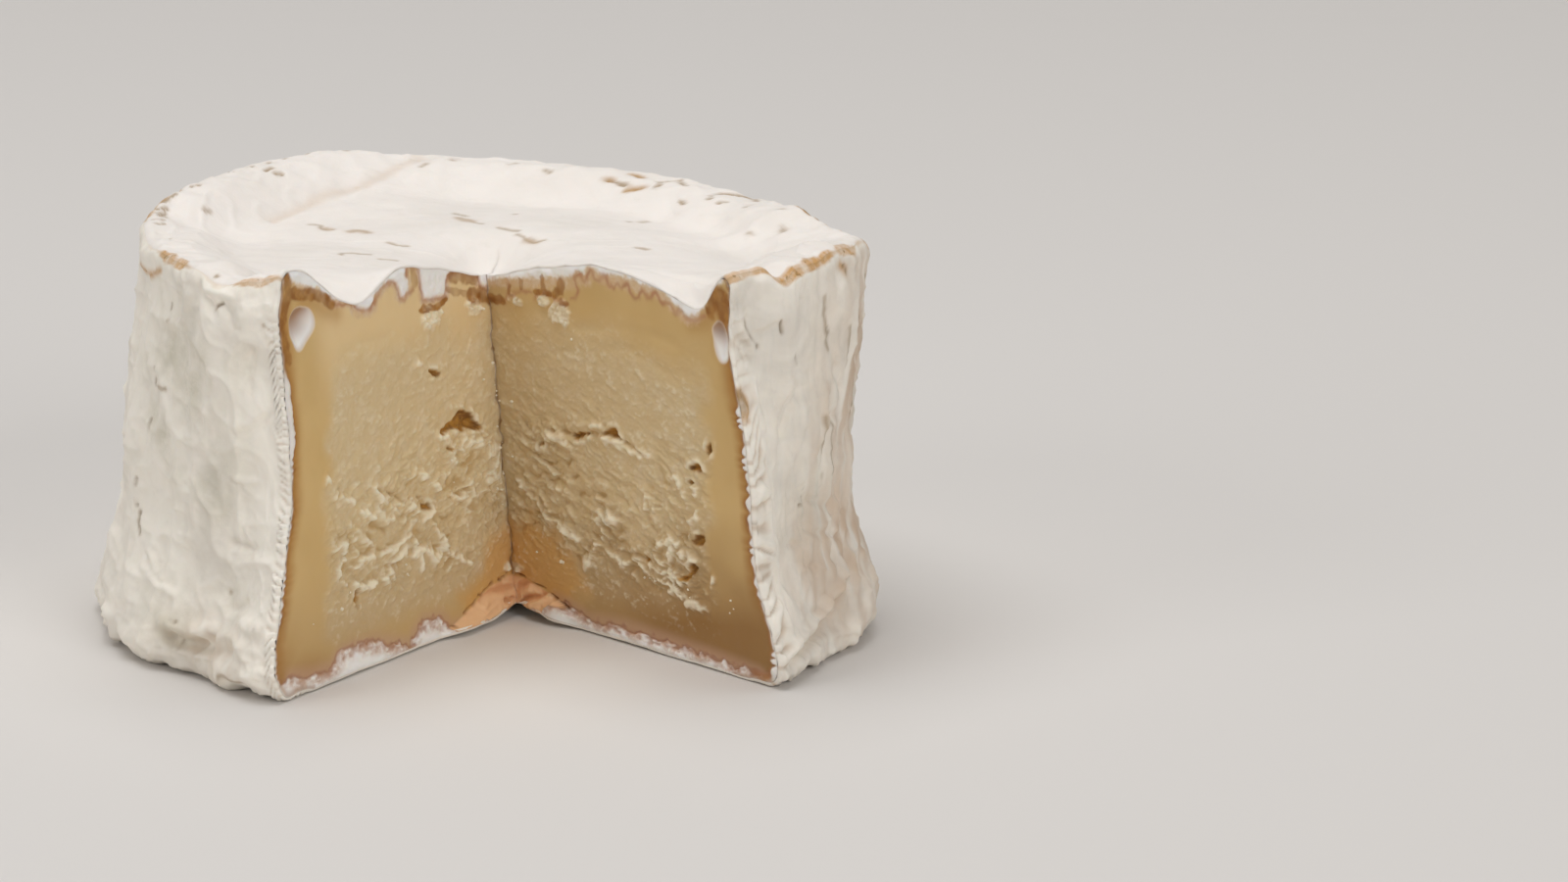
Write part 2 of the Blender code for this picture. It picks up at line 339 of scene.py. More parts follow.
def paint(obj, masks):
    """Stores each mask as one number for each point, for the materials to read."""
    for name, values in masks.items():
        layer = obj.data.attributes.new(name, "FLOAT", "POINT")
        layer.data.foreach_set("value", np.clip(values, 0.0, 1.0).astype(np.float32))


def normals_of(obj):
    n = np.empty(len(obj.data.vertices) * 3, dtype=np.float32)
    obj.data.vertices.foreach_get("normal", n)
    return n.reshape(-1, 3).astype(float)


print("grid tools ready")

# %% [markdown]
# ## Lines drawn on a surface
# Cracks, wrinkles and stains on the real rind are short lines with a place of their
# own. Noise alone would scatter them anywhere. They are named here as short paths,
# and a point's distance to a path gives a soft line, which serves as relief, as a
# painted mask, or as both.


# %% Drawing with paths
def distance_to(path, x, y):
    best = np.full(x.shape, 1e9)
    for (x0, y0), (x1, y1) in zip(path, path[1:] or path):
        dx, dy = x1 - x0, y1 - y0
        t = np.clip(((x - x0) * dx + (y - y0) * dy) / (dx * dx + dy * dy + 1e-9), 0.0, 1.0)
        best = np.minimum(best, np.hypot(x - x0 - t * dx, y - y0 - t * dy))
    return best


def draw(x, y, paths, width):
    """1 on the lines of these paths, falling to 0 over about a width."""
    out = np.zeros(x.shape)
    for path in paths:
        xs, ys = zip(*path)
        near = (x > min(xs) - 3 * width) & (x < max(xs) + 3 * width)
        near &= (y > min(ys) - 3 * width) & (y < max(ys) + 3 * width)
        line = np.exp(-((distance_to(path, x[near], y[near]) / width) ** 2))
        out[near] = np.maximum(out[near], line)
    return out


def cut_corners(pairs):
    """For each pair of points, the points a quarter and three quarters of the way."""
    return [(mix(a[0], b[0], t), mix(a[1], b[1], t)) for a, b in pairs for t in (0.25, 0.75)]


def rounded(outline):
    """The outline with its corners cut off twice."""
    for _ in range(2):
        outline = cut_corners(zip(outline, outline[1:] + outline[:1]))
    return outline


def softened(path):
    """An open path with its corners cut off twice; its ends stay."""
    for _ in range(2):
        path = path[:1] + cut_corners(zip(path, path[1:])) + path[-1:]
    return path


def inside(outline, x, y):
    """Distance from a closed outline, positive within it."""
    within = np.zeros(x.shape, dtype=bool)
    ring = outline + outline[:1]
    for (x0, y0), (x1, y1) in zip(ring, ring[1:]):
        crosses = (y0 > y) != (y1 > y)
        at = x0 + (x1 - x0) * (y - y0) / ((y1 - y0) if y1 != y0 else 1e-9)
        within ^= crosses & (x < at)
    d = distance_to(ring, x, y)
    return np.where(within, d, -d)


def blots(x, y, spots):
    """Soft ovals: place, half sizes and strength of each."""
    out = np.zeros(x.shape)
    for sx, sy, wide, high, strength in spots:
        out = np.maximum(out, strength * np.exp(-(((x - sx) / wide) ** 2) - ((y - sy) / high) ** 2))
    return out


print("drawing tools ready")

# %% [markdown]
# ## One set of columns for the whole rind
# On the real cheese the rind is one skin. A single mesh could not be fine where it
# shows and coarse where it doesn't, so the side, the top and the base are three
# sheets. They share their columns, and so they meet without a gap along the rim and
# the foot. Where the knife went through, each sheet rounds the corner and carries on
# down the cut face as a thin lip.

# %% The rind's columns, shared by the side, the top and the base
COLUMNS, LIP = 440, 9  # points round the rind; of them, those in each lip
EDGE_CLOSER = 0.64  # how much closer than average the columns are at the cuts
CORNER = LIP, COLUMNS - 1 - LIP  # the last columns before the lips, at the right and left cuts


def rind_bearings(u):
    """Bearing of each column from the apex; those of a lip all stay at the cut."""
    ends = LIP / (COLUMNS - 1)
    t = np.clip((u - ends) / (1.0 - 2.0 * ends), 0.0, 1.0)
    t = t - EDGE_CLOSER * np.sin(math.tau * t) / math.tau
    return FIRST + (LAST - FIRST) * t


def wall_frame(edge):
    """Direction from the apex along a cut, and the way out of its face."""
    along = np.array([math.cos(math.radians(edge)), math.sin(math.radians(edge)), 0.0])
    out = np.cross(along, (0, 0, 1.0)) * (1 if edge == FIRST else -1)
    return along, out


def to_wall(edge, p):
    """Distance from the apex line, height, and how far out of the face, of points."""
    along, out = wall_frame(edge)
    ax, ay = apex(p[..., 2])
    dx, dy = p[..., 0] - ax, p[..., 1] - ay
    return dx * along[0] + dy * along[1], p[..., 2], dx * out[0] + dy * out[1]


def from_wall(edge, s, z, n):
    along, out = wall_frame(edge)
    ax, ay = apex(z)
    return np.stack([ax + along[0] * s + out[0] * n, ay + along[1] * s + out[1] * n, z], -1)


print("columns", COLUMNS, "each lip", LIP)


# %% Rounding the rind's corners at the cuts
def eased(line, width=4):
    """A run of numbers with its jitter averaged out, its ends kept."""
    padded = np.pad(line, width, mode="reflect", reflect_type="odd")
    weights = np.hanning(2 * width + 3)[1:-1]
    return np.convolve(padded, weights / weights.sum(), mode="valid")


def roll_at_cuts(p, radius, seam_row=None):
    """Rounds a sheet's corners and lays its lips; gives the lips' lines on each face."""
    lines = {}
    for edge, corner in zip((FIRST, LAST), CORNER):
        step = -1 if edge == FIRST else 1
        s, h, _ = to_wall(edge, p[:, corner])
        ds, dh = np.gradient(eased(s)), np.gradient(eased(h))
        facing = np.sign(np.sum(-dh * (28.0 - s) + ds * (30.0 - h)))
        in_s, in_h = -dh * facing, ds * facing
        size = np.hypot(in_s, in_h) + 1e-9
        at_rim = 0.0
        if seam_row is not None:
            at_rim = smooth(2.5, 0.0, np.hypot(s - s[seam_row], h - h[seam_row]))
        in_s = mix(in_s / size, -0.65, at_rim)
        in_h = mix(in_h / size, -0.76, at_rim)
        reach = radius * (1.0 + 0.35 * noise(s / 2.3, h / 2.3, 0.0, 71)) * smooth(0.0, 4.0, s)
        _, _, n = to_wall(edge, p)
        first_half = np.arange(COLUMNS) < COLUMNS // 2
        beside = first_half if edge == FIRST else ~first_half
        pull = reach[:, None] * smooth(5.0, 0.0, -n) * beside[None, :]
        p = p - wall_frame(edge)[1] * pull[..., None]
        p[:, corner] = from_wall(edge, s, h, -reach)
        for k in range(1, LIP + 1):
            turn = min(k / LIP / 0.7, 1.0) * math.pi / 2
            tail = max(k / LIP - 0.7, 0.0) / 0.3
            down = reach * (1.0 - math.cos(turn)) + 0.35 * tail * smooth(0.0, 3.0, s)
            proud = reach * (math.sin(turn) - 1.0) - 0.3 * tail * smooth(0.0, 3.0, s)
            p[:, corner + step * k] = from_wall(edge, s + in_s * down, h + in_h * down, proud)
        lines[edge] = np.stack([eased(s + in_s * reach, 6), eased(h + in_h * reach, 6)], 1)
    return p, lines


def displaced(obj, x, y, z, relief, rows):
    """The sheet's points moved out along its normals, its lips gathered at the corners."""
    place_points(obj, x, y, z)
    n = normals_of(obj)
    p = (np.stack([x, y, z], 1) + n * relief[:, None]).reshape(rows, COLUMNS, 3)
    p[:, : CORNER[0]] = p[:, CORNER[0], None]
    p[:, CORNER[1] + 1 :] = p[:, CORNER[1], None]
    return p


print("lips ready")


# %% Where the rim has worn: strength of the ochre stain by bearing
RIM_STAIN = {
    -175: 0, -160: 0.1, -156: 0.9, -146: 0.8, -141: 0.1, -134: 0.1, -130: 0.9, -126: 0.7, -122: 0.2,
    -84: 0.2, -48: 0.7, -42: 0.65, -38: 0.75, -36: 1.0, -33: 1.0, -31: 0.5, -29: 1.0, -25: 1.0, -22: 0.3,
    -20: 0.9, -17: 0.8, -14: 0.3, -10: 0.1, -3: 0.8, 3: 0.6, 6: 0.1, 9: 0.5, 13: 0.1, 17: 0.8, 22: 0.9,
    25: 0.2, 34: 0.5, 41: 0.5, 46: 0.1, 52: 0.7, 60: 0.8, 64: 0.1, 80: 0.05, 108: 0.3, 112: 0.05, 150: 0.05,
    158: 0.8, 172: 0.7, 176: 0.1,
}


def rim_wobble(bearing):
    """The seam isn't even: how far it goes out and up at a bearing."""
    a = np.radians(bearing)
    x, y = 22 * np.cos(a), 22 * np.sin(a)
    return 0.5 * fractal(x, y, 1.5, 5), 0.35 * fractal(x, y, 7.5, 9)


def rim_stain(angle, away, x, y):
    """Ochre along the rim's edge, within a ragged band that is wider where stronger."""
    strength = by_bearing(RIM_STAIN, angle)
    band = 0.35 + 0.95 * strength + 0.4 * noise(x / 2.4, y / 2.4, 0.0, 91)
    return strength**0.7 * smooth(band, band * 0.7, away) * (0.9 + 0.25 * noise(x / 1.6, y / 1.6, 4.0, 92))


print("stained places on the rim:", sum(v > 0.6 for v in RIM_STAIN.values()))

# %% [markdown]
# ## The side rind
# The mould rind of the side is a soft white skin. It wrinkles as the curd under it
# shrinks, it folds over at the foot, and the knife leaves it crimped along both cuts.
# A bump map would keep the outline smooth, and the outline is where such a rind shows
# its age. So the wrinkles are real relief on one fine grid wrapped round the section,
# closest set beside the cuts, where it is seen best.

# %% Marks on the side, as bearing and height
SIDE_CRACKS = [
    [(-136, 57), (-135, 57.6), (-134, 58)], [(-151, 55), (-151, 53.5)],
    [(-156, 44.5), (-156, 41.5)], [(-157, 36), (-157.5, 33)], [(-162, 26), (-161.7, 22), (-160, 18)],
    [(-144.5, 8.3), (-143.5, 8)], [(-143.5, 5.2), (-143, 4)],
    [(-124.5, 11), (-124, 11.2)], [(-43.7, 55.5), (-43, 54), (-42, 52.3), (-41, 51)],
    [(-37, 54), (-36.6, 52)], [(-34.5, 49), (-33.7, 47.4), (-33, 46)], [(-25.4, 51), (-25, 49)],
    [(-12, 50), (-11, 48.5)], [(-4, 36.4), (-4, 35)], [(-21, 59.5), (-20, 57.8)], [(-24.5, 29), (-24.5, 25)],
    [(-30.6, 27), (-30.3, 25.5)], [(-31, 24.8), (-30.4, 23.5)], [(-23.3, 14.6), (-23.5, 13.8)],
    [(-21.7, 14.5), (-22, 13.7)], [(-44, 23.7), (-44, 23)], [(-45.4, 25.7), (-44.7, 25)],
]
SIDE_GROOVES = [
    [(-30.7, 26.3), (-29.5, 24.5), (-29.8, 21.7), (-27.9, 19.6), (-20.7, 18.3)],
    [(-28.8, 25.4), (-25.7, 24.2), (-22.6, 22.9)],
    [(-22.2, 23.3), (-18.8, 20.8), (-20.3, 18.6), (-18.3, 17.1)],
    [(-31.1, 19), (-30.4, 15.6), (-28.2, 14.7)], [(-17.9, 24.2), (-16.3, 19.3), (-16.9, 12.8)],
    [(-30.3, 36.2), (-31.3, 33.4), (-33.2, 30.6)], [(-132, 38), (-129, 39.7), (-127, 41.5)],
    [(-139, 61), (-138, 59), (-136, 57)], [(-134, 58), (-132.3, 56.8), (-131, 54.8)],
    [(-138, 48), (-137.3, 46), (-138, 43.3)], [(-129, 51), (-130, 47.4), (-129, 45.4)],
    [(-134, 21.2), (-129, 21.2)], [(-145.7, 7), (-145.3, 4)], [(-138.7, 5), (-135, 5), (-129.7, 6.6)],
    [(-133, 12.2), (-131, 12.3), (-129.5, 13.3)], [(-144.7, 58), (-149, 52.5), (-152, 47.4)],
    [(-136, 32.6), (-132.4, 30.6)], [(-40.7, 53), (-39, 53.6), (-37, 53.6)],
    [(-24.6, 49), (-21.7, 43.3), (-19, 39.7)], [(-32.7, 43), (-35, 40), (-36.5, 36)],
    [(-21, 37), (-24.3, 34.8), (-25, 28.8)], [(-25.3, 30.4), (-25.4, 26), (-24, 24.7)],
    [(-31.6, 27.4), (-31, 22.7), (-30.3, 19.8)], [(-28, 19.6), (-25, 18.3), (-21.5, 18.3)],
    [(-14.6, 21), (-19.6, 18.5), (-22.4, 14.7)], [(-34, 19.5), (-31.5, 18), (-31.5, 16.3)],
    [(-17, 13.4), (-18.3, 10.7)], [(-12.7, 12.6), (-14.3, 9.7)], [(-20.7, 10.2), (-24.6, 8), (-28, 6.4)],
    [(-22.3, 12), (-26.7, 9.8), (-31, 8.2)], [(-42.6, 8.6), (-41.7, 7), (-43, 5)],
    [(-46, 54.5), (-44.4, 52), (-43, 50)], [(-168, 52), (-171, 40), (-173, 26)],
    [(-8, 47), (-6, 33), (-7, 20)], [(-13, 44), (-12, 34)], [(20, 52), (22, 36), (20, 22)],
    [(55, 50), (57, 34)], [(96, 54), (93, 38), (95, 20)], [(128, 48), (131, 30), (129, 14)],
    [(160, 52), (158, 38)], [(38, 14), (44, 8), (52, 9)], [(108, 11), (116, 6), (126, 8)],
]
SIDE_RIDGES = [
    [(-156.4, 14.3), (-152, 13.3), (-149, 12.2), (-145.7, 12)], [(-133.6, 7.7), (-131, 8.4), (-127.7, 7.6)],
    [(-128.4, 11), (-126.5, 10.5), (-124.3, 10.7)], [(-140, 8), (-137.6, 6.2), (-138.7, 4.1)],
    [(-141, 58.5), (-145, 51.8)], [(-138, 33.5), (-134, 31.6), (-129.5, 31.3)],
    [(-155, 16.8), (-151, 14.1)], [(-44.5, 55), (-43.5, 53), (-42, 51)],
    [(-40.5, 53.5), (-39, 54), (-37.3, 54)], [(-34.7, 44.3), (-37, 42), (-38.3, 37.8), (-39, 32.6)],
    [(-26, 42), (-25.4, 36.5), (-28, 32.6)], [(-29.6, 19.7), (-25.7, 18.2), (-21.6, 18)],
    [(-20, 22.8), (-16.3, 20.7), (-19, 18.3)], [(-31.5, 17.7), (-31.7, 15.4)], [(-9, 12), (-5.6, 8.5)],
    [(-15, 13), (-16.5, 10.3)], [(-19.3, 13.4), (-19, 11)], [(-7, 9.8), (-6, 6.2)],
    [(-21, 11.5), (-25.7, 9.3), (-30, 7.4)], [(-21.4, 9.4), (-25.5, 7.5), (-29, 6)],
    [(-45.4, 7.5), (-44, 6.4), (-43.7, 4.5)],
]
SIDE_FOLDS = [
    [(-21, 10.2), (-25, 7.8), (-28, 6.3), (-31, 5.4), (-34, 4.7), (-39, 4.3), (-41.7, 2.8)],
    [(-136, 6.4), (-140, 5.2), (-146, 5.6)], [(62, 6), (72, 4.6), (84, 6)], [(150, 5), (160, 6.5)],
]
SIDE_DENTS = [
    [(-129.4, 49.3)], [(-139.4, 46)], [(-131.3, 21.4)], [(-144.3, 13)], [(-132.7, 15)], [(-24, 21)],
    [(-39.5, 14.3)], [(35, 40)], [(80, 26)], [(115, 42)], [(150, 24)],
]
SIDE_BROWN = [
    [(-161, 19.8), (-160, 18)], [(-154.4, 41.4), (-151, 42)], [(-132, 2.4), (-127, 2.3)],
    [(-26.7, 56), (-26, 52), (-25.2, 47.5)], [(-26, 37.5), (-25.4, 30.5)], [(-126.5, 55.5)], [(-151, 52.7)],
    [(-45.6, 45), (-45.2, 43), (-45.6, 41)], [(-45, 44.6), (-44.6, 42)], [(-134, 14)],
    [(-7, 55), (-7.4, 53.4)], [(-8.4, 35.4), (-8, 34)], [(-19.5, 50), (-18.5, 44)],
    [(-22, 37), (-21.6, 28)],
]
SIDE_OCHRE = [
    [(-170, 57), (-165, 56.8), (-160, 57.6), (-157.5, 58.6)], [(-45.4, 44.8), (-44.4, 43), (-45, 40.7)],
    [(-22, 60), (-20.5, 58.5)],
]
SIDE_GREEN = (
    (-142, 9, 13, 7, 0.6), (-150, 42, 13, 14, 1.0), (-139, 50, 9, 7, 0.7), (-136, 30, 8, 9, 0.6),
    (-131, 13, 7, 7, 0.5), (-28, 24, 9, 8, 0.5), (-30, 45, 8, 9, 0.2), (25, 30, 20, 14, 0.7),
    (70, 44, 22, 10, 0.6), (110, 22, 22, 14, 0.7), (155, 38, 18, 14, 0.7), (180, 20, 10, 10, 0.5),
)
# greyer, bare rind; the blots on the right, between bearings -27 and -10, also carry painted shade, darker
# towards the foot
SIDE_BARE_AND_SHADE = (
    (-25, 15, 11, 13, 0.8), (-10, 42, 15, 20, 1.0), (-14, 16, 17, 15, 1.0), (-27, 32, 6, 9, 0.4),
    (6, 50, 14, 12, 0.8), (-17, 8, 10, 7, 0.9), (48, 20, 14, 12, 0.4), (135, 48, 12, 10, 0.4),
    (-136, 6, 9, 4, 0.5),
)
# how far the rim's lip hangs out
SIDE_FLARE = {
    -60: 0, -32: 0, -20: 0.5, -8: 1.0, 4: 1.1, 14: 0.5, 28: 0, 150: 0, 170: 0.5, 176: 0.3, 190: 0,
}
SIDE_SCAR = [[(-45.4, 56), (-44.4, 53.5), (-43.6, 50.5)]]
print(len(SIDE_CRACKS) + len(SIDE_GROOVES) + len(SIDE_RIDGES), "wrinkles on the side")


# %% Relief of the side: the marks
def side_marks(angle, z, x, y):
    """The named marks of the side as soft lines, each 1 along its middle."""
    wob_a = angle + 0.55 * fractal(x / 2.6, y / 2.6, z / 2.6, 61, 3)
    wob_z = z + 0.6 * fractal(x / 2.6, y / 2.6, z / 2.6, 62, 3)
    broken = smooth(-0.5, 0.3, noise(x / 1.4, y / 1.4, z / 1.4, 63))
    return {
        "cracks": draw(wob_a, wob_z, SIDE_CRACKS, 0.26) * broken,
        "grooves": draw(wob_a, wob_z, SIDE_GROOVES, 0.75),
        "ridges": draw(wob_a, wob_z, SIDE_RIDGES, 0.7),
        "folds": draw(wob_a, wob_z, SIDE_FOLDS, 1.0),
        "over_folds": draw(wob_a, wob_z - 1.7, SIDE_FOLDS, 1.2),
        "dents": draw(angle, z, SIDE_DENTS, 4.2),
        "scar": draw(angle + 0.8 * noise(z / 1.5, x / 2, 0.0, 64), z, SIDE_SCAR, 2.0),
        "ochre": draw(wob_a, wob_z, SIDE_OCHRE, 0.7),
        "brown": draw(wob_a, wob_z, SIDE_BROWN, 0.38),
    }


print("side marks ready")


# %% Relief of the side: the skin between the marks
def side_skin(x, y, z, upright, wavy):
    """Broad lobes, the facets between them, then ever finer wrinkles."""
    foot = smooth(13, 4, z)
    out = 0.50 * fractal(x / 10, y / 10, z / 12, 21, 3)
    facets = ridges(x / 6.5, y / 6.5, z / 8.0, 26) ** 3
    out = out + 0.66 * (facets - 0.35) * mix(1.0, 0.6, upright)
    out = out + 0.38 * (ridges(x / 4.3 + z / 9, y / 4.3, z / 5.5, 38) ** 4 - 0.3) * mix(1.0, 0.7, upright)
    out = out + 0.28 * fractal(x / 3.6, y / 3.6, z / 4.6, 22, 4)
    out = out + 0.14 * (ridges(x / 1.9, y / 1.9, z / 2.6 + x / 5, 39) ** 4 - 0.3)
    hanging = ridges(x / 2.0 + wavy, y / 2.0 + wavy, z / 13.0, 23) ** 3 - 0.35
    out = out + hanging * mix(0.05, 0.50, upright)
    out = out + 0.85 * foot * fractal(x / 5.0, y / 5.0, z / 3.2, 24, 4)
    out = out + 0.35 * foot * (ridges(x / 3.4, y / 3.4, z / 2.4, 28) ** 4 - 0.3)
    return out + 0.32 * smooth(50, 57, z) * fractal(x / 3.0, y / 3.0, z / 2.4, 25, 3)


print("side skin ready")


# %% Relief of the side: its crimps beside the cuts
def crimped(away, z, slope, gap, seed):
    """Small pleats that climb away from a cut, uneven in pitch and height."""
    slope = slope * (0.5 + 1.5 * noise(0.0, z / 7.0, 0.0, seed + 3))
    w = (z - slope * away) / gap + 0.40 * noise(away / 5.0, z / 3.8, 0.0, seed)
    w = w + 0.10 * noise(away / 1.4, z / 1.4, 0.0, seed + 1)
    crest = np.abs(np.sin(math.pi * w)) ** 0.8
    return crest * (0.72 + 0.45 * noise(away / 2.4, z / 2.9, 3.0, seed + 2))


def crimp_side(out, z, from_right, from_left):
    """The relief with the knife's crimps laid over it, and the valleys between them, which get painted
    shade.
    """
    # wide pleats beside the right cut, which end in a thin hem
    reach = mix(4.6, 3.2, smooth(34, 50, z)) + 0.9 * noise(0.0, 0.0, z / 4.0, 35)
    band = smooth(reach, reach * 0.55, from_right) * smooth(58, 52, z) * (0.5 + 0.5 * smooth(48, 34, z))
    pleats = crimped(from_right, z, 0.6, 2.7, 31)
    out = mix(out, 0.4 * out, band) + band * (1.3 * pleats - 0.65) * smooth(-0.2, 0.6, from_right)
    hem = 0.42 * bump(from_right, reach + 0.1, 0.40) * smooth(60, 52, z)
    out = out + hem * smooth(-0.4, 0.5, noise(0.0, 0.0, z / 3.0, 36))
    # small, close ones beside the left cut
    close = smooth(1.7, 0.9, from_left) * smooth(59, 54, z)
    ropes = crimped(from_left, z, -0.9, 1.25, 33)
    out = mix(out, 0.5 * out, close) + close * (0.9 * ropes - 0.3)
    valleys = np.maximum(band * smooth(0.5, 0.1, pleats), 0.6 * close * smooth(0.45, 0.05, ropes))
    return out, valleys


print("crimps ready")


# %% Relief of the side, all together
def side_relief(angle, z, x, y, from_right, from_left):
    """How far the side stands proud of the turned form, and its painted masks."""
    marks = side_marks(angle, z, x, y)
    upright = smooth(-52, -22, angle) * smooth(60, 10, angle)  # where it hangs in upright wrinkles
    wavy = 0.8 * noise(x / 9, y / 9, z / 16, 27)
    out = side_skin(x, y, z, upright, wavy)
    out = out - 0.34 * marks["cracks"] - 0.65 * marks["grooves"] + 0.60 * marks["ridges"]
    out = out - 0.55 * marks["dents"] - 1.9 * marks["folds"] + 1.2 * marks["over_folds"]
    out = out + 0.9 * marks["scar"] * fractal(x / 1.8, y / 1.8, z / 1.4, 65, 3)
    out, valleys = crimp_side(out, z, from_right, from_left)
    ochre = np.maximum(0.8 * marks["ochre"], 0.12 * marks["ridges"] * upright)
    brown = np.maximum(0.75 * marks["brown"], 0.8 * marks["cracks"])
    scabs = smooth(-0.1, 0.5, fractal(x / 1.4, y / 1.4, z / 1.4, 66, 3))
    brown = np.maximum(brown, 0.5 * marks["scar"] * scabs)
    # painted shade: the valleys between the crimps are darkened in the brown mask
    brown = np.maximum(brown, 0.22 * valleys**2)
    patchy = 0.45 + 0.9 * fractal(x / 5.5, y / 5.5, z / 7.0, 29, 3)
    green = blots(angle, z, SIDE_GREEN) * np.clip(patchy, 0, 1)
    streaks = 0.70 + 0.8 * noise(x / 1.7 + wavy, y / 1.7 + wavy, z / 15.0, 30)
    bare_and_shade = blots(angle, z, SIDE_BARE_AND_SHADE) * np.clip(streaks, 0, 1)
    # and greyed in the bare mask, more painted shade
    bare_and_shade = np.maximum(bare_and_shade, 0.5 * valleys) * smooth(61.0, 59.5, z)
    crack = 0.4 * marks["cracks"]
    return out, {"crack": crack, "ochre": ochre, "brown": brown, "green": green, "bare_and_shade": bare_and_shade}


print("side relief ready")

# %% Side rind
SIDE_ROWS = 226
side = new_grid("rind_side", COLUMNS, SIDE_ROWS)
u, v = flat_places(side)
bearing, run = rind_bearings(u), (1.0 - v) * section_run[-1]
x, y, z = side_point(bearing, run)
angle = np.degrees(np.arctan2(y, x))
from_right, from_left = (-to_wall(edge, np.stack([x, y, z], 1))[2] for edge in (FIRST, LAST))
from_right = np.where(u < 0.5, from_right, 99.0)
from_left = np.where(u > 0.5, from_left, 99.0)
relief, masks = side_relief(angle, z, x, y, from_right, from_left)
relief = relief * smooth(0.0, 2.2, run) * smooth(section_run[-1], section_run[-1] - 4.0, run)
wobble_out, wobble_up = rim_wobble(bearing)
off_cuts = smooth(0.0, 1.5, np.minimum(from_right, from_left))
near_seam = smooth(4.5, 0.0, run) * off_cuts
flare = by_bearing(SIDE_FLARE, angle) * bump(run, 0.0, 3.2) * off_cuts
p = displaced(side, x, y, z, relief + flare + near_seam * wobble_out, SIDE_ROWS)
p[..., 2] = np.maximum(p[..., 2] + (near_seam * wobble_up).reshape(SIDE_ROWS, COLUMNS), 0.0)
side_seam = p[-1].copy()
p, side_lines = roll_at_cuts(p, 0.55, -1)
place_points(side, *p.reshape(-1, 3).T)
stain = rim_stain(angle, run, x, y)
masks["ochre"] = np.maximum(masks["ochre"], stain)
masks["brown"] = np.maximum(masks["brown"], 0.5 * stain * bump(run, 0.0, 0.35))
paint(side, masks)
print(side.name, len(side.data.polygons), "faces")

# %% [markdown]
# ## The top rind
# The top has sunk inside its rim, most of all over the soft middle where the knife
# went in. A disc of rings would need its own edge fitted to the side's. Instead its
# columns are the side's own, and its rows run from the seam under the rim to the
# point where the cuts meet.

# %% Marks on the top, as x and y in millimetres
TOP_DASHES = [
    [(-28, 18.5), (-26.5, 17.7), (-25.1, 14.7), (-24, 14.5)], [(-15.3, 6.1), (-13.8, 4.3), (-12.4, 4.8)],
    [(-22.1, -3.7), (-21.7, -2.4), (-20.4, -1.8), (-17.9, -2)], [(-16, -4.6), (-13.4, -5.4)],
    [(-5.7, 25.5), (-4.1, 23.3)], [(-2.8, 18), (-1.5, 16.6)], [(1.3, 14.2), (2.8, 12.9), (4.4, 11.7)],
    [(4.2, 10.3), (5.8, 8.4), (7, 7), (8.6, 7.5)], [(22.7, 2), (24.3, 0.8)], [(22.7, 24.9), (24.1, 27.3)],
    [(44.7, 14), (45.5, 13.1)], [(2.3, 48.8), (3, 49.3)], [(7.4, 46.1), (8.4, 45)],
    [(-12, 46.3), (-11, 47.3)], [(-7.2, 49.8), (-6.7, 50.2)], [(-43.5, 14.9), (-43, 15.3)],
    [(21.2, 24.5), (21.4, 24.7)], [(39.5, 14.5), (39.8, 14.5)], [(3.3, 25.2), (3.5, 25.3)],
]
TOP_SMEARS = [
    [(-21.4, 13.5), (-20.3, 14.2), (-18.7, 12.7)], [(-5.1, 21.5), (-3.1, 18.6)], [(6, 8.2), (7.4, 7)],
    [(-25.4, 16), (-24.4, 14.6)],
]
RIM_MARKS = [
    [(17.5, 42), (17.9, 41.5), (20.6, 39.6)],
    [(25.2, 36.9), (25.7, 39.4), (27.1, 40.4), (28.7, 39.6), (29.9, 35.7)], [(28.9, 31.6), (29.7, 30.3)],
    [(33.6, 29.6), (33.8, 29.8)], [(33.9, 30.6), (35.7, 32.1), (39.2, 31.1), (41.1, 27)],
    [(35, 28.1), (36.1, 28.3)], [(39, 24), (39.9, 24.5)], [(44.5, 18.7), (44.9, 18.7)],
    [(47.3, 19.6), (48.3, 18.1), (49.2, 16.7), (50.4, 14.7)], [(-50, 14.9), (-49.2, 16.4)],
    [(-50.8, 12.2), (-49.1, 13.6)], [(-49.9, 6.8), (-49, 10.3)], [(-50.4, 2.5), (-49.2, 5.2)],
    [(-50.3, 9), (-49.3, 11.8)], [(-50.1, 15.4), (-48.8, 17.5)], [(-49.4, 19), (-48.2, 22)],
    [(-48.6, 25), (-47.6, 26.5)], [(-49.7, 0.2), (-49, 1.4)], [(-47.6, -8.1), (-47.4, -8)],
    [(-38.4, -36.4), (-38.2, -36.3)], [(-46.1, 22.5), (-45, 23.3)], [(-41, 33.3), (-40.7, 33.4)],
    [(-38.3, 36.7), (-38, 36.8)], [(-35.7, 34.4), (-34.7, 35.9)], [(-34.1, 34.5), (-33.2, 34.4)],
    [(-35.5, 39.2), (-34.7, 39.4)], [(-33.1, 42.3), (-32.9, 42.4)], [(-29.7, 45.5), (-29.2, 45.9)],
    [(-24, 49), (-23.7, 49.1)], [(-48.6, 18.6), (-48.3, 18.5)],
]
RIM_SPOTS = [[(21.5, 43.4), (22.7, 42.2)], [(20.6, 38.5), (23.1, 38.5)], [(17.5, 42.1), (17.8, 41.9)]]
TOP_KNIFE = [[(0.1, 3.2), (0.8, 4.8), (1.1, 6.4), (1.9, 9.5)]]
TOP_CREASES = [
    [(-13, 50.5), (-19.2, 42.1), (-25.1, 34.1), (-30.9, 26.9), (-34, 22)],
    [(48.1, 8.7), (42.3, 14.3), (33.1, 21.7)], [(28.4, 32.5), (28.5, 29.8), (27, 29)],
    [(-47.3, 15.4), (-47.3, 9.1), (-46.7, -9.2)],
]
print(len(TOP_DASHES) + len(RIM_MARKS), "marks on the top")


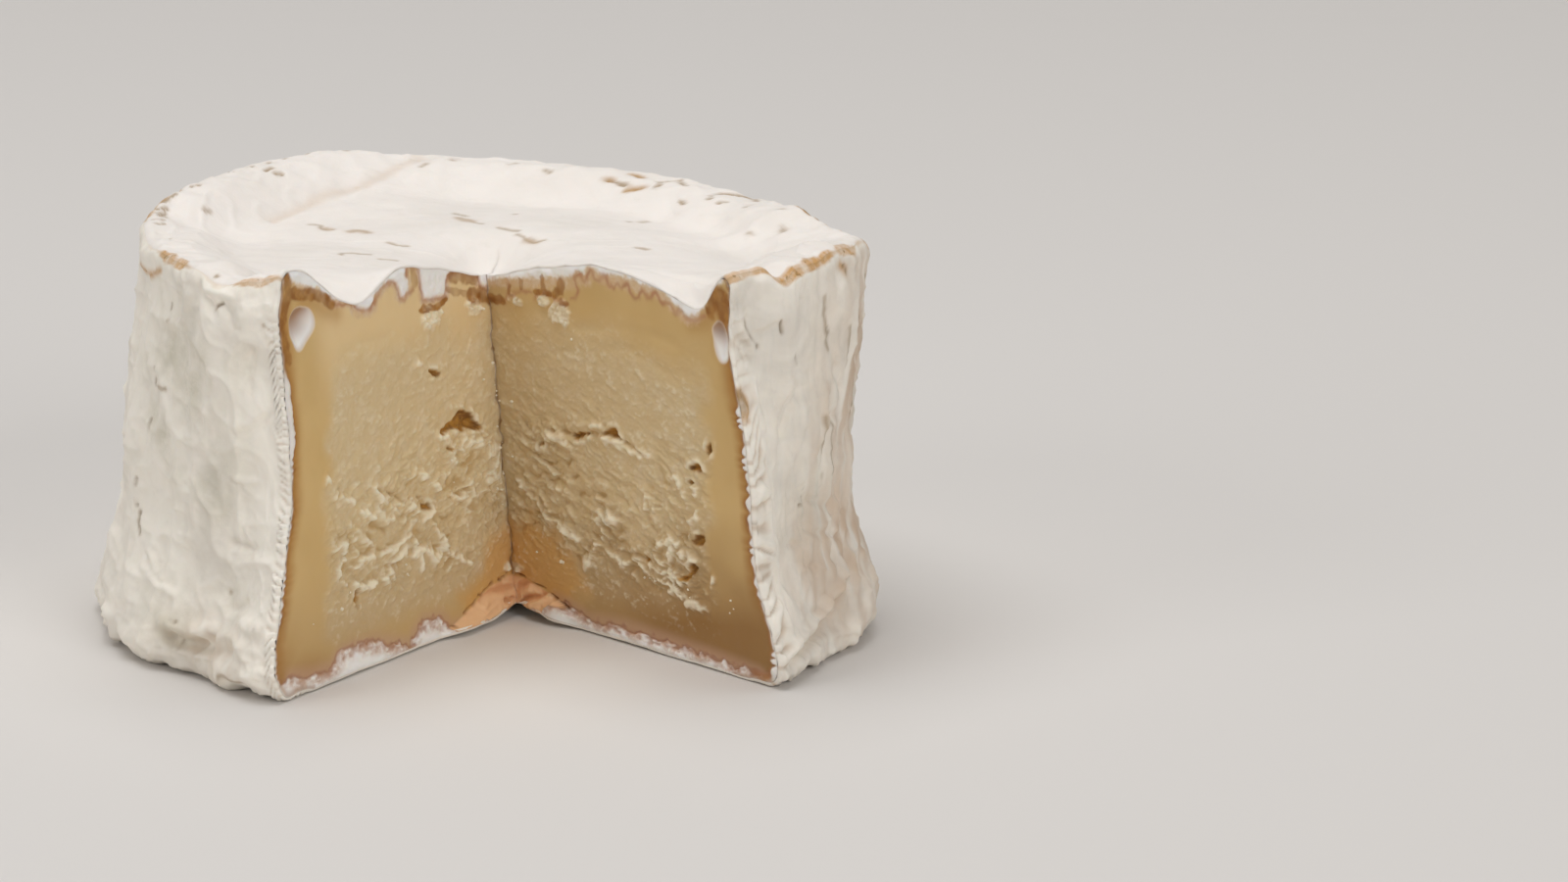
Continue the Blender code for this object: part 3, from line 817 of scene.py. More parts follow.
# %% Relief of the top
def top_relief(x, y, r):
    """How far the top stands proud of its dished form, and its painted masks."""
    wx = x + 0.5 * fractal(x / 1.6, y / 1.6, 3.0, 41, 3)
    wy = y + 0.5 * fractal(x / 1.6, y / 1.6, 8.0, 42, 3)
    dashes = draw(wx, wy, TOP_DASHES, 0.46)
    smears = draw(wx, wy, TOP_SMEARS, 0.8)
    marks = np.clip(1.25 * draw(wx, wy, RIM_MARKS, 0.34), 0, 1)
    spots = draw(wx, wy, RIM_SPOTS, 0.62)
    knife = draw(x + 0.25 * noise(x, y / 0.8, 0, 48), y, TOP_KNIFE, 0.22) * smooth(9.5, 3.5, y)
    cx, cy = x + 1.2 * noise(x / 7, y / 7, 0, 43), y + 1.2 * noise(x / 7, y / 7, 5, 49)
    creases = draw(cx, cy, TOP_CREASES, 2.3)
    rim = smooth(36, 46, r)
    out = 0.50 * fractal(x / 14, y / 11, 2.0, 44, 3) + 0.10 * fractal(x / 4, y / 3, 5.0, 45, 3)
    out = out + 0.12 * (ridges(x / 9, y / 4.5, 1.0, 46) ** 5 - 0.2) * smooth(46, 30, r)
    lumpy = 0.55 * fractal(x / 5.5, y / 5.5, 3.0, 47, 4)
    lumpy = lumpy + 0.40 * (ridges(x / 3.8, y / 3.8, 3.0, 50) ** 4 - 0.3)
    out = out + rim * lumpy
    out = out - 0.12 * dashes - 0.30 * marks - 0.25 * spots - 0.30 * knife - 0.65 * creases
    brown = np.maximum(0.75 * dashes, 0.55 * smears)
    brown = np.maximum(np.maximum(brown, 0.95 * marks), 0.6 * spots)
    ochre = np.maximum(0.9 * spots, 0.35 * smears)
    # painted shade along the first crease of the top, carried in the bare mask
    crease_shade = 0.38 * draw(cx, cy, TOP_CREASES[:1], 1.1)
    green = np.zeros_like(x)
    return out, {"crack": 0.35 * knife, "ochre": ochre, "brown": brown, "green": green, "bare_and_shade": crease_shade}


print("top relief ready")

# %% Top rind
TOP_ROWS = 156
top = new_grid("rind_top", COLUMNS, TOP_ROWS)
u, v = flat_places(top)
bearing, part = rind_bearings(u), 1.0 - v
x, y, z = top_point(bearing, part)
r, angle = np.hypot(x, y), np.degrees(np.arctan2(y, x))
relief, masks = top_relief(x, y, r)
relief = relief * smooth(1.0, 0.955, part) * smooth(0.0, 0.03, part)
p = displaced(top, x, y, z + relief, np.zeros_like(x), TOP_ROWS)
near_seam = smooth(0.90, 1.0, part.reshape(TOP_ROWS, COLUMNS))
p += (side_seam - p[0])[None, :, :] * near_seam[..., None]
radius = mix(0.55, 0.42, smooth(1.0, 0.9, part.reshape(TOP_ROWS, COLUMNS)[:, 0]))
p, top_lines = roll_at_cuts(p, radius, 0)
place_points(top, *p.reshape(-1, 3).T)
stain = rim_stain(angle, (1.0 - part) * 57.0 + 0.3, x, y)
masks["ochre"] = np.maximum(masks["ochre"], stain)
masks["brown"] = np.maximum(masks["brown"], 0.55 * stain * smooth(0.995, 0.98, part))
paint(top, masks)
print(top.name, len(top.data.polygons), "faces")

# %% [markdown]
# ## The base rind
# It rests flat under the walls and arches a little where the cuts meet. Where the
# wedge came away, a torn ledge of rind is left standing forward of both cuts. That
# ledge belongs to three pieces at once, so it is not modelled three times: one push,
# a function of place, moves the base and the lowest points of the cut faces alike.


# %% The torn ledge at the foot of the cuts
LEDGE_END = {FIRST: 12.5, LAST: 18.0}  # how far it runs along each cut
LEDGE_OUT = {FIRST: 2.3, LAST: 2.0}  # how far it stands forward of each cut
LEDGE_MIDDLE = 2.15  # and of the line where they meet


def ledge_push(x, y, z):
    """How far forward the ledge's lowest edge stands, for points near the apex."""
    ax, ay = apex(z)
    toward = {}
    for edge in (FIRST, LAST):
        along = wall_frame(edge)[0]
        toward[edge] = np.maximum((x - ax) * along[0] + (y - ay) * along[1], 0.0)
    middle = wall_frame(FIRST)[1] + wall_frame(LAST)[1]
    middle = middle / np.hypot(*middle[:2])
    push = np.zeros(x.shape + (2,))
    for edge, other in ((FIRST, LAST), (LAST, FIRST)):
        s = toward[edge]
        size = mix(LEDGE_MIDDLE, LEDGE_OUT[edge], smooth(0, 5, s))
        size = size * smooth(LEDGE_END[edge] + 3.0, LEDGE_END[edge] - 3.0, s)
        size = size * (1.0 + 0.22 * noise(s / 2.6, 0.0, 0.0, 55))
        way = mix(middle[:2], wall_frame(edge)[1][:2], smooth(0.0, 6.0, s)[..., None])
        push = np.where((s >= toward[other])[..., None], size[..., None] * way, push)
    return push


def base_height(x, y):
    """The low arch under the place where the cuts meet."""
    return ARCH_Z * smooth(9.5, 2.5, np.hypot(x - ARCH_X, y - ARCH_Y))


print("ledge ready")

# %% Base rind
BASE_ROWS = 40
base = new_grid("rind_base", COLUMNS, BASE_ROWS)
u, v = flat_places(base)
bearing = rind_bearings(u)
v = 1.0 - (1.0 - v) ** 0.8
ex, ey, ez = side_point(bearing, np.full_like(u, section_run[-1]))
ax, ay = apex(0.0)
x, y = mix(ax, ex, v), mix(ay, ey, v)
z = base_height(x, y) + 0.12 * smooth(1.0, 0.9, v) * (1 + fractal(x / 6, y / 6, 0, 51))
p = displaced(base, x, y, z, np.zeros_like(x), BASE_ROWS)
p, base_lines = roll_at_cuts(p, 0.45)
right, left = (wall_frame(edge)[0] for edge in (FIRST, LAST))
FAR = 70  # past the end of both cuts
notch_edge = [(ax + FAR * right[0], ay + FAR * right[1]), (ax, ay), (ax + FAR * left[0], ay + FAR * left[1])]
near_notch = smooth(7.0, 0.5, distance_to(notch_edge, p[..., 0], p[..., 1]))
p[..., :2] += ledge_push(p[..., 0], p[..., 1], p[..., 2]) * near_notch[..., None]
push = ledge_push(p[..., 0], p[..., 1], p[..., 2])
p[..., 2] += 0.5 * near_notch * np.hypot(push[..., 0], push[..., 1]) / 2.0
place_points(base, *p.reshape(-1, 3).T)
paint(base, {key: np.zeros_like(x) for key in ("crack", "ochre", "brown", "green", "bare_and_shade")})
print(base.name, len(base.data.polygons), "faces")

# %% [markdown]
# ## The cut faces
# Each knife cut shows the cheese's whole story: the rind as a thin crimped line, a
# brown rim of ripest paste, a smooth cream band, and the crumbly, chalky core with
# its holes. Cutting a solid would leave two plain planes. Here a face is a patch
# stretched between the lips of base, side and top, and what the cut shows is drawn on
# it by distance from the apex line and height.

# %% What the left cut shows: distance from the apex line and height, in millimetres
LEFT_FACE = {
    "top": [
        (50.6, 64.4), (49.6, 61.6), (47.7, 60.4), (45.8, 59.9), (43.4, 59.3), (41.7, 57.8), (39.4, 56.7),
        (36.5, 56.1), (34.5, 55.7), (34.4, 54.8), (33.3, 53.9), (30.9, 53.5), (29.5, 53.9), (29.1, 55.1),
        (28, 55.6), (26.6, 56.4), (25.3, 56.6), (23.8, 56.3), (23, 55.2), (22.7, 53.6), (21.7, 53.6),
        (20.5, 54.4), (20.4, 55.6), (20.9, 56.9), (20.2, 58), (18.9, 58), (17.7, 57.5), (17.4, 56.2),
        (17.3, 53.8), (16.8, 52.2), (14.8, 51.8), (12.2, 51.7), (10.6, 51.9), (10.2, 54.8), (8.6, 55),
        (5.3, 54.2), (2.3, 53.1), (2, 51.7), (1.4, 51), (0, 51),
    ],
    "outer": [(66, 2), (66, 60), (51, 64)],
    "base": [
        (0, 1.4), (3, 1.3), (6, 1.0), (12, 0.7), (17.5, 1.0), (19, 2.4), (20, 3.3), (23.9, 3.8),
        (26.1, 2.8), (28.2, 1), (36.9, 3.5), (41.9, 4.2), (45.2, 4.2), (48.6, 2), (53.6, 2.2), (58.5, 3.2),
    ],
    "ledge": [
        (20, 1.2), (17.5, 1.5), (12.6, 3.2), (10.7, 3.9), (8.6, 4.8), (5.9, 5.7), (3.4, 5.8), (1.4, 6.3),
        (0, 6.1),
    ],
    "pocket": [
        (51, 54), (50.3, 56.2), (49, 57.3), (46.1, 56.9), (44.5, 55.2), (44.6, 53.4), (46.8, 52),
        (49.3, 50.3),
    ],
    # where the pocket's painted shade is darkest
    "pocket_dark": (49.2, 57.4),
    "fringe": {0: 0, 34: 0, 38: 1.0, 45: 1.3, 49: 0.2},
    "top_light": 0.9,
    "bold": 0.9,
    "scallops": (1.3, 0.35),
    # the low brown and painted shade: it rises between these two distances from the apex, then how strong it
    # is
    "dusk": (-40, 0, 0.3),
    "pale": [
        (15.8, 48.9, 2.6, 2.0, 1.0), (12.6, 49.4, 1.8, 1.2, 0.6), (3.6, 48.6, 2.6, 1.9, 0.85),
        (9, 51.4, 1.6, 1.2, 0.5), (1.6, 7.4, 1.6, 0.8, 0.8),
    ],
    "ledge_folds": [
        [(9.5, 4), (8.1, 4.7), (6.6, 4.8), (4.1, 4.6), (1.9, 4.3), (0, 4.2)],
        [(4.4, 2.9), (2, 2.6), (0, 2.4)],
    ],
    "lines": [
        [(39.4, 56.4), (38.8, 55.6), (38, 55.9), (37.1, 55.3), (36.1, 55.5), (35.2, 54.9)],
        [
            (34.5, 55.7), (34.2, 54.6), (33.3, 53.8), (30.9, 53.2), (29.6, 53.7), (28.9, 54.9),
            (27.5, 55.8), (25.8, 56.4), (23.8, 56.1), (23, 55.1), (22.7, 53.5), (21.8, 53.2), (20.6, 53.8),
            (19.3, 54.2),
        ],
        [
            (20.7, 56.4), (20.3, 57.7), (19, 57.9), (17.5, 57.3), (17.2, 55.9), (17.3, 53.8), (16.8, 51.9),
            (16.8, 50.7),
        ],
        [
            (16.8, 52.1), (14.8, 51.7), (12.2, 51.5), (10.6, 51.8), (10.2, 54.6), (8.6, 54.9), (5.3, 54.1),
            (2.3, 53), (2, 51.6), (1.4, 50.9), (0, 50.9),
        ],
    ],
    "brown": [
        (
            0.75, 0.9,
            [(50.4, 62.4), (50.2, 60), (51, 58), (52.2, 56.3), (52.6, 54.5), (52, 52.4), (51.9, 50)],
        ),
        (0.85, 0.9, [(49.6, 59.6), (47.2, 59), (45.5, 58.7), (43.1, 58.1), (41.4, 57), (40, 56.1)]),
        (0.42, 1.0, [(18, 50.6), (17, 50.9), (13.7, 50.5), (11, 51.2)]),
        (0.9, 0.75, [(8.9, 54.3), (5.5, 53.6), (3.2, 52.7)]), (0.7, 0.5, [(18.9, 57.2), (18.6, 55)]),
        (1.1, 0.9, [(4.6, 50.3), (2, 50.1), (0, 49.3)]), (0.5, 0.5, [(10.2, 52.5), (8, 51.6), (5.5, 51)]),
    ],
    "holes": [
        [
            (16.2, 31.3), (15.6, 31.9), (13.7, 32.2), (12.3, 32.8), (10.9, 33.4), (9.6, 33.7), (8.4, 33),
            (7.4, 32.5), (6.5, 31.3), (5.4, 30.4), (4.6, 29.9), (6.3, 29.7), (7.8, 30.1), (8.7, 30.7),
            (9.8, 30.3), (10.8, 31.1), (11.8, 31), (12.8, 31.5), (14.1, 31.3), (15.2, 31.1),
        ],
        [(17.4, 41.6), (16.4, 41.2), (15, 40.8), (14, 40.3), (15.1, 40), (16.6, 40.5)],
        [(22.9, 21.4), (22, 21.9), (20.6, 21.5), (19.9, 20.8), (21.5, 20.7)],
        [(14.9, 29.2), (14, 28.9), (13.3, 28.3), (14.1, 28.3)],
        [(40.8, 13), (40.2, 12.2), (40.4, 10.9), (40.8, 10.1), (41.4, 10.8), (41.2, 12.1)],
    ],
    "ridges": [
        [(42.8, 19.4), (40.7, 19.9), (38.7, 20), (37.3, 19.2), (35.4, 18.4)],
        [
            (40.8, 16), (39.2, 16.5), (37.4, 16.9), (34.4, 16.3), (32.1, 16.4), (30.3, 16.8), (27.9, 17.5),
            (25.5, 18), (23.3, 18.6), (21.9, 19.5), (20.2, 20.3),
        ],
        [(41.7, 13.9), (39.8, 13), (37.8, 12.7), (35, 12.8), (31.7, 12.8)],
        [(33.4, 26.4), (32.6, 25), (31.5, 24), (29.8, 23), (27.1, 22.3), (25.1, 22)],
        [(33.6, 23.3), (32.5, 22), (30.9, 20.9), (28.7, 20.4), (26.4, 20.5)],
        [(19.8, 18.2), (18.7, 16.9), (17.9, 15.5), (17.2, 14.6)],
        [(16.2, 22.6), (14.3, 21.5), (11.9, 20.6), (10.2, 19.5)],
        [(25.3, 17.8), (24.5, 15.9), (24.3, 14.1), (23.6, 12.1)], [(45, 19.6), (43.2, 20), (41.4, 20.2)],
        [(40.5, 22.7), (39, 20.8), (38, 19.7)],
        [(16.2, 30.8), (14.3, 29.9), (11.5, 29.2), (9, 29), (6.5, 28.3)],
        [(25, 27.6), (22.9, 26.2), (19.5, 25.2)], [(27.7, 15.4), (25.8, 14.5), (22.1, 14.8), (20.6, 12.8)],
        [(17.6, 13.8), (15.7, 12.4), (13.3, 11.6), (11.9, 10.2)], [(45.5, 16.7), (44.5, 15), (43.2, 13.9)],
        [(34, 27), (32.7, 27.4), (31, 26.8)], [(44, 27.9), (42.1, 26.8), (39.7, 26)],
        [(20.1, 42.7), (18.9, 42)], [(45.6, 30.2), (44.6, 29.2)], [(31.5, 14.9), (29.3, 15.4), (27, 16.2)],
        [(37.8, 23.9), (36, 23.2), (34.8, 22.4)], [(30, 19), (27.4, 19.4), (25, 19.8)],
        [(19.2, 23.9), (17.3, 23.2), (15.8, 22.9)],
    ],
    "grooves": [
        [(42.4, 18.6), (40.8, 19.3), (38.8, 19.1)], [(39, 17.8), (36.5, 17.6), (34.5, 17.3), (32.6, 17)],
        [(32.5, 17.3), (31, 17.4), (29.5, 17.2)], [(29.9, 17.7), (27.8, 18.2), (25.7, 18.6), (24, 19.2)],
        [(37.1, 13.9), (35, 14.2), (32, 14.3), (28.9, 14.3)],
        [(30.5, 25.4), (28.9, 24.2), (26.5, 23.2), (24.5, 22.9)], [(22.5, 22.5), (21, 21.7), (20.1, 21.1)],
        [(18.8, 19.4), (16.9, 18.2), (14.8, 18.2), (13.2, 18.9)],
        [(20.4, 15.6), (19.1, 14.4), (18.2, 13.5)], [(40.8, 13), (40.5, 11.7), (40.7, 10.5)],
        [(34.9, 21.7), (33.5, 20.5), (32.1, 20)], [(14.3, 21.5), (12.8, 21.4), (10.7, 21.3)],
        [(33, 27.2), (32.2, 26), (31.6, 24.9)], [(37.5, 21.2), (36.1, 20.2), (35.1, 18.9)],
        [(25.6, 15.6), (23.5, 15.7), (21.4, 15.9)], [(15.3, 15.6), (13.7, 15.5), (12.5, 14.6)],
    ],
    "browned": [[(47, 58), (44, 57), (41.5, 55.4), (39, 54.6)]],
    "arcs": [[(40.3, 47.4), (33, 48.8), (26.1, 48.2)], [(22.2, 7.9), (24.2, 8), (26.4, 7.5), (28, 6.7)]],
    "orange": [
        (-4, 6), (-4, 12.5), (1.2, 13.2), (3.8, 12.6), (5.5, 11.1), (7.6, 8.2), (11.5, 6.6), (14.2, 5.4),
        (12, 3), (6, 4),
    ],
    "core": {5: 47.5, 10: 47.0, 30: 44.5, 43: 41.0, 56: 38.0},
    "band": {0: 4.2, 8: 3.4, 20: 2.5, 35: 2.6, 46: 3.2, 52: 3.8, 57: 4.0},
    "halo": {0: 1.4, 16: 1.2, 24: 1.5, 34: 1.9, 40: 1.6},
    "rise": -0.32,
}
print("left face:", len(LEFT_FACE["ridges"]), "ridges,", len(LEFT_FACE["holes"]), "holes")

# %% What the right cut shows
RIGHT_FACE = {
    "top": [
        (56.6, 62.2), (55.8, 61.8), (54.3, 60.6), (52.8, 60.2), (52.2, 59.1), (50.7, 57.6), (49.7, 56),
        (48.2, 54.8), (46.4, 54.4), (45.2, 54.9), (43.5, 55.8), (41.9, 57), (39.3, 57.5), (36.5, 57.6),
        (34.3, 57.9), (31.4, 58), (28.7, 57.7), (27, 57.7), (25.7, 58.3), (24.4, 58.5), (23.3, 57),
        (21.5, 56.8), (20.2, 56), (18.3, 55.4), (14.9, 54.9), (11.4, 54.2), (7.9, 53.6), (5.5, 53.2),
        (2.5, 52.8), (0, 52.3),
    ],
    "outer": [(66, 1), (66, 60), (57, 64)],
    "base": [
        (0, 1.4), (4, 1.6), (8, 1.4), (10.2, 3.6), (12.5, 3.4), (15, 2.8), (17.1, 2), (20, 2.2), (26, 2.6),
        (36, 2.2), (46, 1.9), (56, 1.3),
    ],
    "ledge": [(15, 1.6), (13, 2.5), (10.4, 3.9), (8.5, 4.6), (6.5, 5.2), (2.7, 6), (0, 6)],
    "pocket": [(51.9, 54), (51.7, 52.4), (52, 49.8), (53.2, 48.2), (54.9, 49.4), (55.1, 53), (53.5, 55)],
    # where the pocket's painted shade is darkest
    "pocket_dark": (52.4, 56),
    "fringe": {0: 0, 60: 0},
    "top_light": 0.0,
    "bold": 0.68,
    "scallops": (2.3, 0.85),
    # the low brown and painted shade: it rises between these two distances from the apex, then how strong it
    # is
    "dusk": (-30, 50, 0.85),
    "pale": [
        (16.4, 49.6, 2.8, 2.3, 1.0), (13.6, 51, 2.6, 1.2, 0.85), (6.5, 49.8, 2.6, 1.0, 0.6),
        (1, 7.3, 2.2, 0.9, 0.9),
    ],
    "ledge_folds": [
        [(0, 4.2), (0.6, 4.3), (2.4, 4.8)],
        [(0, 1.5), (1.5, 1.8), (3.1, 2.7), (5.1, 3.4), (7.1, 3.8), (7.6, 4.6), (8.3, 5.1)],
        [(0, 3.8), (0.7, 4.1), (3.2, 5.2), (4.2, 5.5)],
    ],
    "lines": [
        [(0.4, 49.1), (3.1, 48.8), (4.9, 50.3), (5.3, 51.6), (4.9, 52.2)],
        [(5.1, 50.1), (6.9, 51.1), (8.5, 51.7), (10.2, 51.8)],
        [(11, 51.1), (12.7, 52), (14.6, 52.6), (15.8, 51.3), (17.4, 51.9), (18.5, 51.3)],
        [
            (19.8, 52.4), (20.9, 52.9), (21.5, 53.9), (21, 54.9), (21.1, 56.1), (21.9, 56.7), (22.7, 56.1),
            (23.3, 55.5), (24.1, 56.7), (24.5, 57.8), (25.1, 57.4), (25.7, 56.5), (26.8, 56.4),
            (27.8, 57.4), (28.4, 57.1), (28.7, 55.8), (29.5, 56.4), (30, 55.7), (30.8, 56.7), (31.6, 55.8),
            (32.6, 56.9), (33.3, 56.7), (34, 55.2), (35, 54.9), (35.8, 56), (36.6, 56.8), (37.4, 56.2),
            (37.7, 55.2), (38.8, 56.6), (39.7, 56.9), (40.2, 56), (40.8, 55.2), (41.7, 55.6), (42.6, 55.8),
            (43, 54.8), (43.8, 54.2), (44.7, 55), (45.3, 54.3), (46.3, 53.6), (47.7, 54), (49, 54.2),
            (50, 55.1),
        ],
    ],
    "brown": [
        (0.7, 0.9, [(0.4, 49.2), (3.2, 49.3)]), (0.5, 0.8, [(13.2, 54.5), (13.2, 52.7)]),
        (0.5, 0.9, [(11.3, 51.9), (14.6, 52.4)]), (0.8, 0.9, [(15.9, 52.5), (17.4, 53.4), (17.6, 54.6)]),
        (0.5, 0.8, [(17.6, 51.6), (18.3, 51.4)]), (0.4, 0.7, [(8.1, 53.1), (7.9, 52.1)]),
        (0.35, 0.7, [(5.2, 52), (5, 50.6)]), (1.0, 0.95, [(52.6, 59.2), (52.8, 57.6), (51.6, 56)]),
        (1.9, 1.0, [(54, 58), (54.8, 57), (55, 56.4)]),
        (0.7, 0.9, [(56.3, 61), (56.8, 59.1), (56.9, 56.7), (56.3, 53.6), (56.4, 50.6)]),
    ],
    "holes": [
        [
            (16.9, 30.9), (18.2, 31.6), (19.5, 31.7), (21.4, 32), (20.4, 31.5), (19.4, 30.9), (18.4, 30.2),
            (17.5, 30.4),
        ],
        [
            (24.1, 32.5), (25.6, 33.1), (27, 33.8), (27.9, 33.7), (28.2, 33), (28.6, 32.4), (27.2, 32.2),
            (26.4, 32.5), (25.3, 32.6),
        ],
        [(48, 34), (48.4, 35.1), (48.9, 35.9), (49.3, 35.2), (49.2, 34.3), (48.6, 33.6)],
        [(43.5, 30.7), (44.9, 31.6), (46.2, 31.8), (46.8, 31.3), (46.3, 30.6), (45, 30.5)],
        [
            (42.7, 19.3), (43.9, 20.3), (44.9, 20.9), (45.8, 21.1), (46.1, 20.4), (45.6, 19.4),
            (44.6, 18.9), (43.5, 19),
        ],
        [
            (42.5, 15.8), (43.4, 16.3), (44, 15.6), (43.2, 14.7), (42.3, 13.9), (41.3, 13.1), (40.1, 12.7),
            (39, 13), (40.2, 13.5), (41.4, 13.9), (42.4, 14.8),
        ],
        [(9, 27.9), (10, 28.5), (10.4, 28.1), (9.7, 27.7)],
        [(43, 28.5), (43.9, 29), (45, 28.7), (44.1, 28.4)],
        [(31.6, 15.3), (32.2, 15.1), (33, 14.5), (32.1, 14.3)],
    ],
    "ridges": [
        [(5.6, 19.7), (6.9, 19), (7.7, 18.3), (9, 17.5), (10.4, 16.2)],
        [(13.1, 15.3), (14.9, 15.1), (16.9, 14.8), (19.4, 14.9)],
        [(17.7, 10.6), (19.3, 12.7), (20.7, 14.4), (22.2, 15.4)],
        [(23, 17), (25.1, 17.5), (26.8, 16.9), (28.3, 16), (30.1, 15.7)],
        [(27.5, 13.1), (30.3, 14), (32.9, 13.7), (34.6, 12.7), (36.2, 11.7), (38.4, 11.3)],
        [(34.7, 13.9), (36.7, 15.5), (38.7, 17), (41.3, 17.1), (43.9, 16.3)],
        [(42.4, 26), (43.7, 25.6), (45, 26.9), (44.6, 27.8)], [(38.8, 28.3), (40.1, 28.7), (41.4, 28.1)],
        [(21.4, 18.6), (23.8, 19.5), (25.6, 19.3)], [(28.5, 20.7), (29.7, 21.9), (31.2, 21.4)],
        [(32.8, 23.1), (33.6, 24.5), (33.5, 25.5)], [(22.7, 10.9), (24.5, 10.7), (23.9, 9.6)],
        [(32.1, 31.6), (33.6, 31.3), (35.1, 30.9)], [(34.6, 16.6), (36.1, 17.7), (38, 18.5), (39.7, 18.6)],
        [(36.9, 10.3), (38.3, 10.9), (39.6, 10.4)],
        [(16.3, 31.9), (18.7, 32.7), (21, 33), (23.8, 33.7), (26.1, 34.4)],
        [(11.5, 29.4), (14.2, 29.5), (16.9, 29.2)], [(24, 31.6), (27, 31.4), (30, 31), (33, 30.4)],
        [(43, 22.6), (44.4, 23.4), (45.2, 24.6)], [(3, 21.6), (4.2, 21), (5.4, 20.4)],
        [(35, 12.4), (36.8, 13.2), (38.2, 12.8)], [(41, 9.4), (43.4, 9.8), (45.4, 9.2)],
        [(24, 14), (25.4, 13.2), (27, 12.2)], [(45.4, 12), (46.6, 13), (47, 14.4)],
    ],
    "grooves": [
        [(0.7, 15.9), (2.9, 16.6), (4.8, 16.8), (6.6, 16.7), (8.2, 16.7)],
        [(16, 11.4), (18, 13.1), (19.3, 14.4)], [(20, 16.1), (21.8, 15.9), (23.8, 15.7)],
        [(26, 15.6), (28.2, 15.1), (30.4, 14.9), (32.1, 14.6), (33, 14.4)],
        [(10.7, 13.2), (12, 12.5), (11.3, 10.8)], [(31.8, 11.5), (33.2, 10.3), (34.7, 10)],
        [(36.5, 13.7), (38.4, 14.7), (39.4, 15.8)], [(41.8, 20.6), (40.3, 19.3), (41.1, 18.5)],
        [(2, 13.3), (4, 14.3), (6.4, 15.1)], [(10.6, 22.7), (14.2, 24), (17.7, 24.3)],
        [(17.3, 21.6), (20.6, 22.6), (23.8, 22.7)], [(9.9, 25.6), (13.3, 25.9), (16.9, 26.9)],
        [(11.6, 30.4), (14.5, 31), (17.2, 31.1)], [(21.4, 32), (24.1, 32.4)],
        [(28.2, 32.4), (29.9, 32.1), (32.5, 31.2), (34.6, 30.9)],
    ],
    "browned": [[(52.7, 55.9), (50.4, 54.6), (47.2, 53.5)]],
    "arcs": [
        [(20.4, 48), (31.8, 50), (42.8, 49.7)], [(13, 42.9), (31.5, 47), (44.3, 44)],
        [(18, 38.6), (26, 37), (31, 38.4)],
    ],
    "orange": [
        (-3, 4), (-3, 13.4), (2.5, 13.6), (5, 14.9), (9.5, 14.2), (13.7, 12), (15.8, 10), (17.7, 7.2),
        (15, 5), (10.4, 3.9), (6.5, 5.2),
    ],
    "core": {5: 45.0, 12.7: 45.4, 24: 46.5, 43: 49.0, 56: 46.0},
    "band": {0: 3.6, 8: 2.8, 20: 2.2, 35: 2.4, 46: 3.0, 52: 3.4, 57: 3.8},
    "halo": {0: 2.0, 18: 2.4, 24: 2.6, 34: 2.6, 46: 1.9, 52: 1.5},
    "rise": -0.3,
}
print("right face:", len(RIGHT_FACE["ridges"]), "ridges,", len(RIGHT_FACE["holes"]), "holes")


# %% Stretching a face between its outlines
def along_curve(curve, t):
    """The point part of the way along a curve, by its length."""
    run = np.concatenate([[0.0], np.cumsum(np.hypot(*np.diff(curve, axis=0).T))])
    run = run / run[-1]
    return np.stack([np.interp(t, run, curve[:, 0]), np.interp(t, run, curve[:, 1])], 1)


def stretched(lower, outer, upper, s, t):
    """A patch between three curves and the apex line, at s across and t up."""
    low, high, far = along_curve(lower, s), along_curve(upper, s), along_curve(outer, t)
    near = np.stack([np.zeros_like(t), mix(lower[0, 1], upper[0, 1], t)], 1)
    s, t = s[:, None], t[:, None]
    corners = (1 - s) * (1 - t) * lower[0] + s * (1 - t) * lower[-1]
    corners = corners + (1 - s) * t * upper[0] + s * t * upper[-1]
    return (1 - t) * low + t * high + (1 - s) * near + s * far - corners


for name, edge in (("left", LAST), ("right", FIRST)):
    print(name, "face reaches", side_lines[edge].max(0).round(1), "top from", top_lines[edge][-1].round(1))


# %% The rind's bites into the paste
def side_bites(face, s, z, to_outer, seed):
    """Distance inside the side rind, and how far its crimps bite into the paste there."""
    pitch, depth = face["scallops"]
    bites = np.abs(np.sin(math.pi * (z / pitch + 0.9 * noise(0.0, z / 3.2, 0.0, seed + 27)))) ** 0.8
    bites = bites * depth * np.clip(0.75 + 0.9 * noise(0.0, z / 3.4, 0.0, seed + 28), 0, 2)
    bites = 0.15 + by_height(face["fringe"], z) + bites * smooth(50, 46, z)
    bites = bites * smooth(3.6, 1.2, to_outer) + 0.12 * noise(s / 1.2, z / 1.2, 0.0, seed + 36)
    return to_outer - bites, bites


print("bites ready")


# %% The browning of the paste, and painted shade low on the face
def browning(face, s, z, from_side, seed):
    """Tan beside the rind, and a brown low on the face: partly the ripest paste, partly painted shade."""
    reach = by_height(face["band"], z) * (1.0 + 0.15 * noise(0.0, z / 3.0, 0.0, seed + 25))
    tan = smooth(1.35 * reach, -0.3, from_side) * smooth(61.0, 57.0, z)
    tan = np.maximum(tan, 0.75 * smooth(7.5, 0.5, from_side) * smooth(14.0, 3.0, z))
    tan = np.maximum(tan, 0.5 * draw(s, z, face["browned"], 1.7))
    low_s, high_s, dark = face["dusk"]
    up = z + 3.0 * noise(s / 6, z / 6, 0.0, seed + 29)
    dusk = dark * smooth(31.0, 4.0, up) * smooth(low_s, high_s, s)
    # painted shade: darker still near the foot, towards the outer edge
    dusk = np.maximum(dusk, 0.16 * dark) + 0.5 * dark * smooth(13.0, 3.0, z) * smooth(15.0, 50.0, s)
    return tan, dusk


print("browning ready")


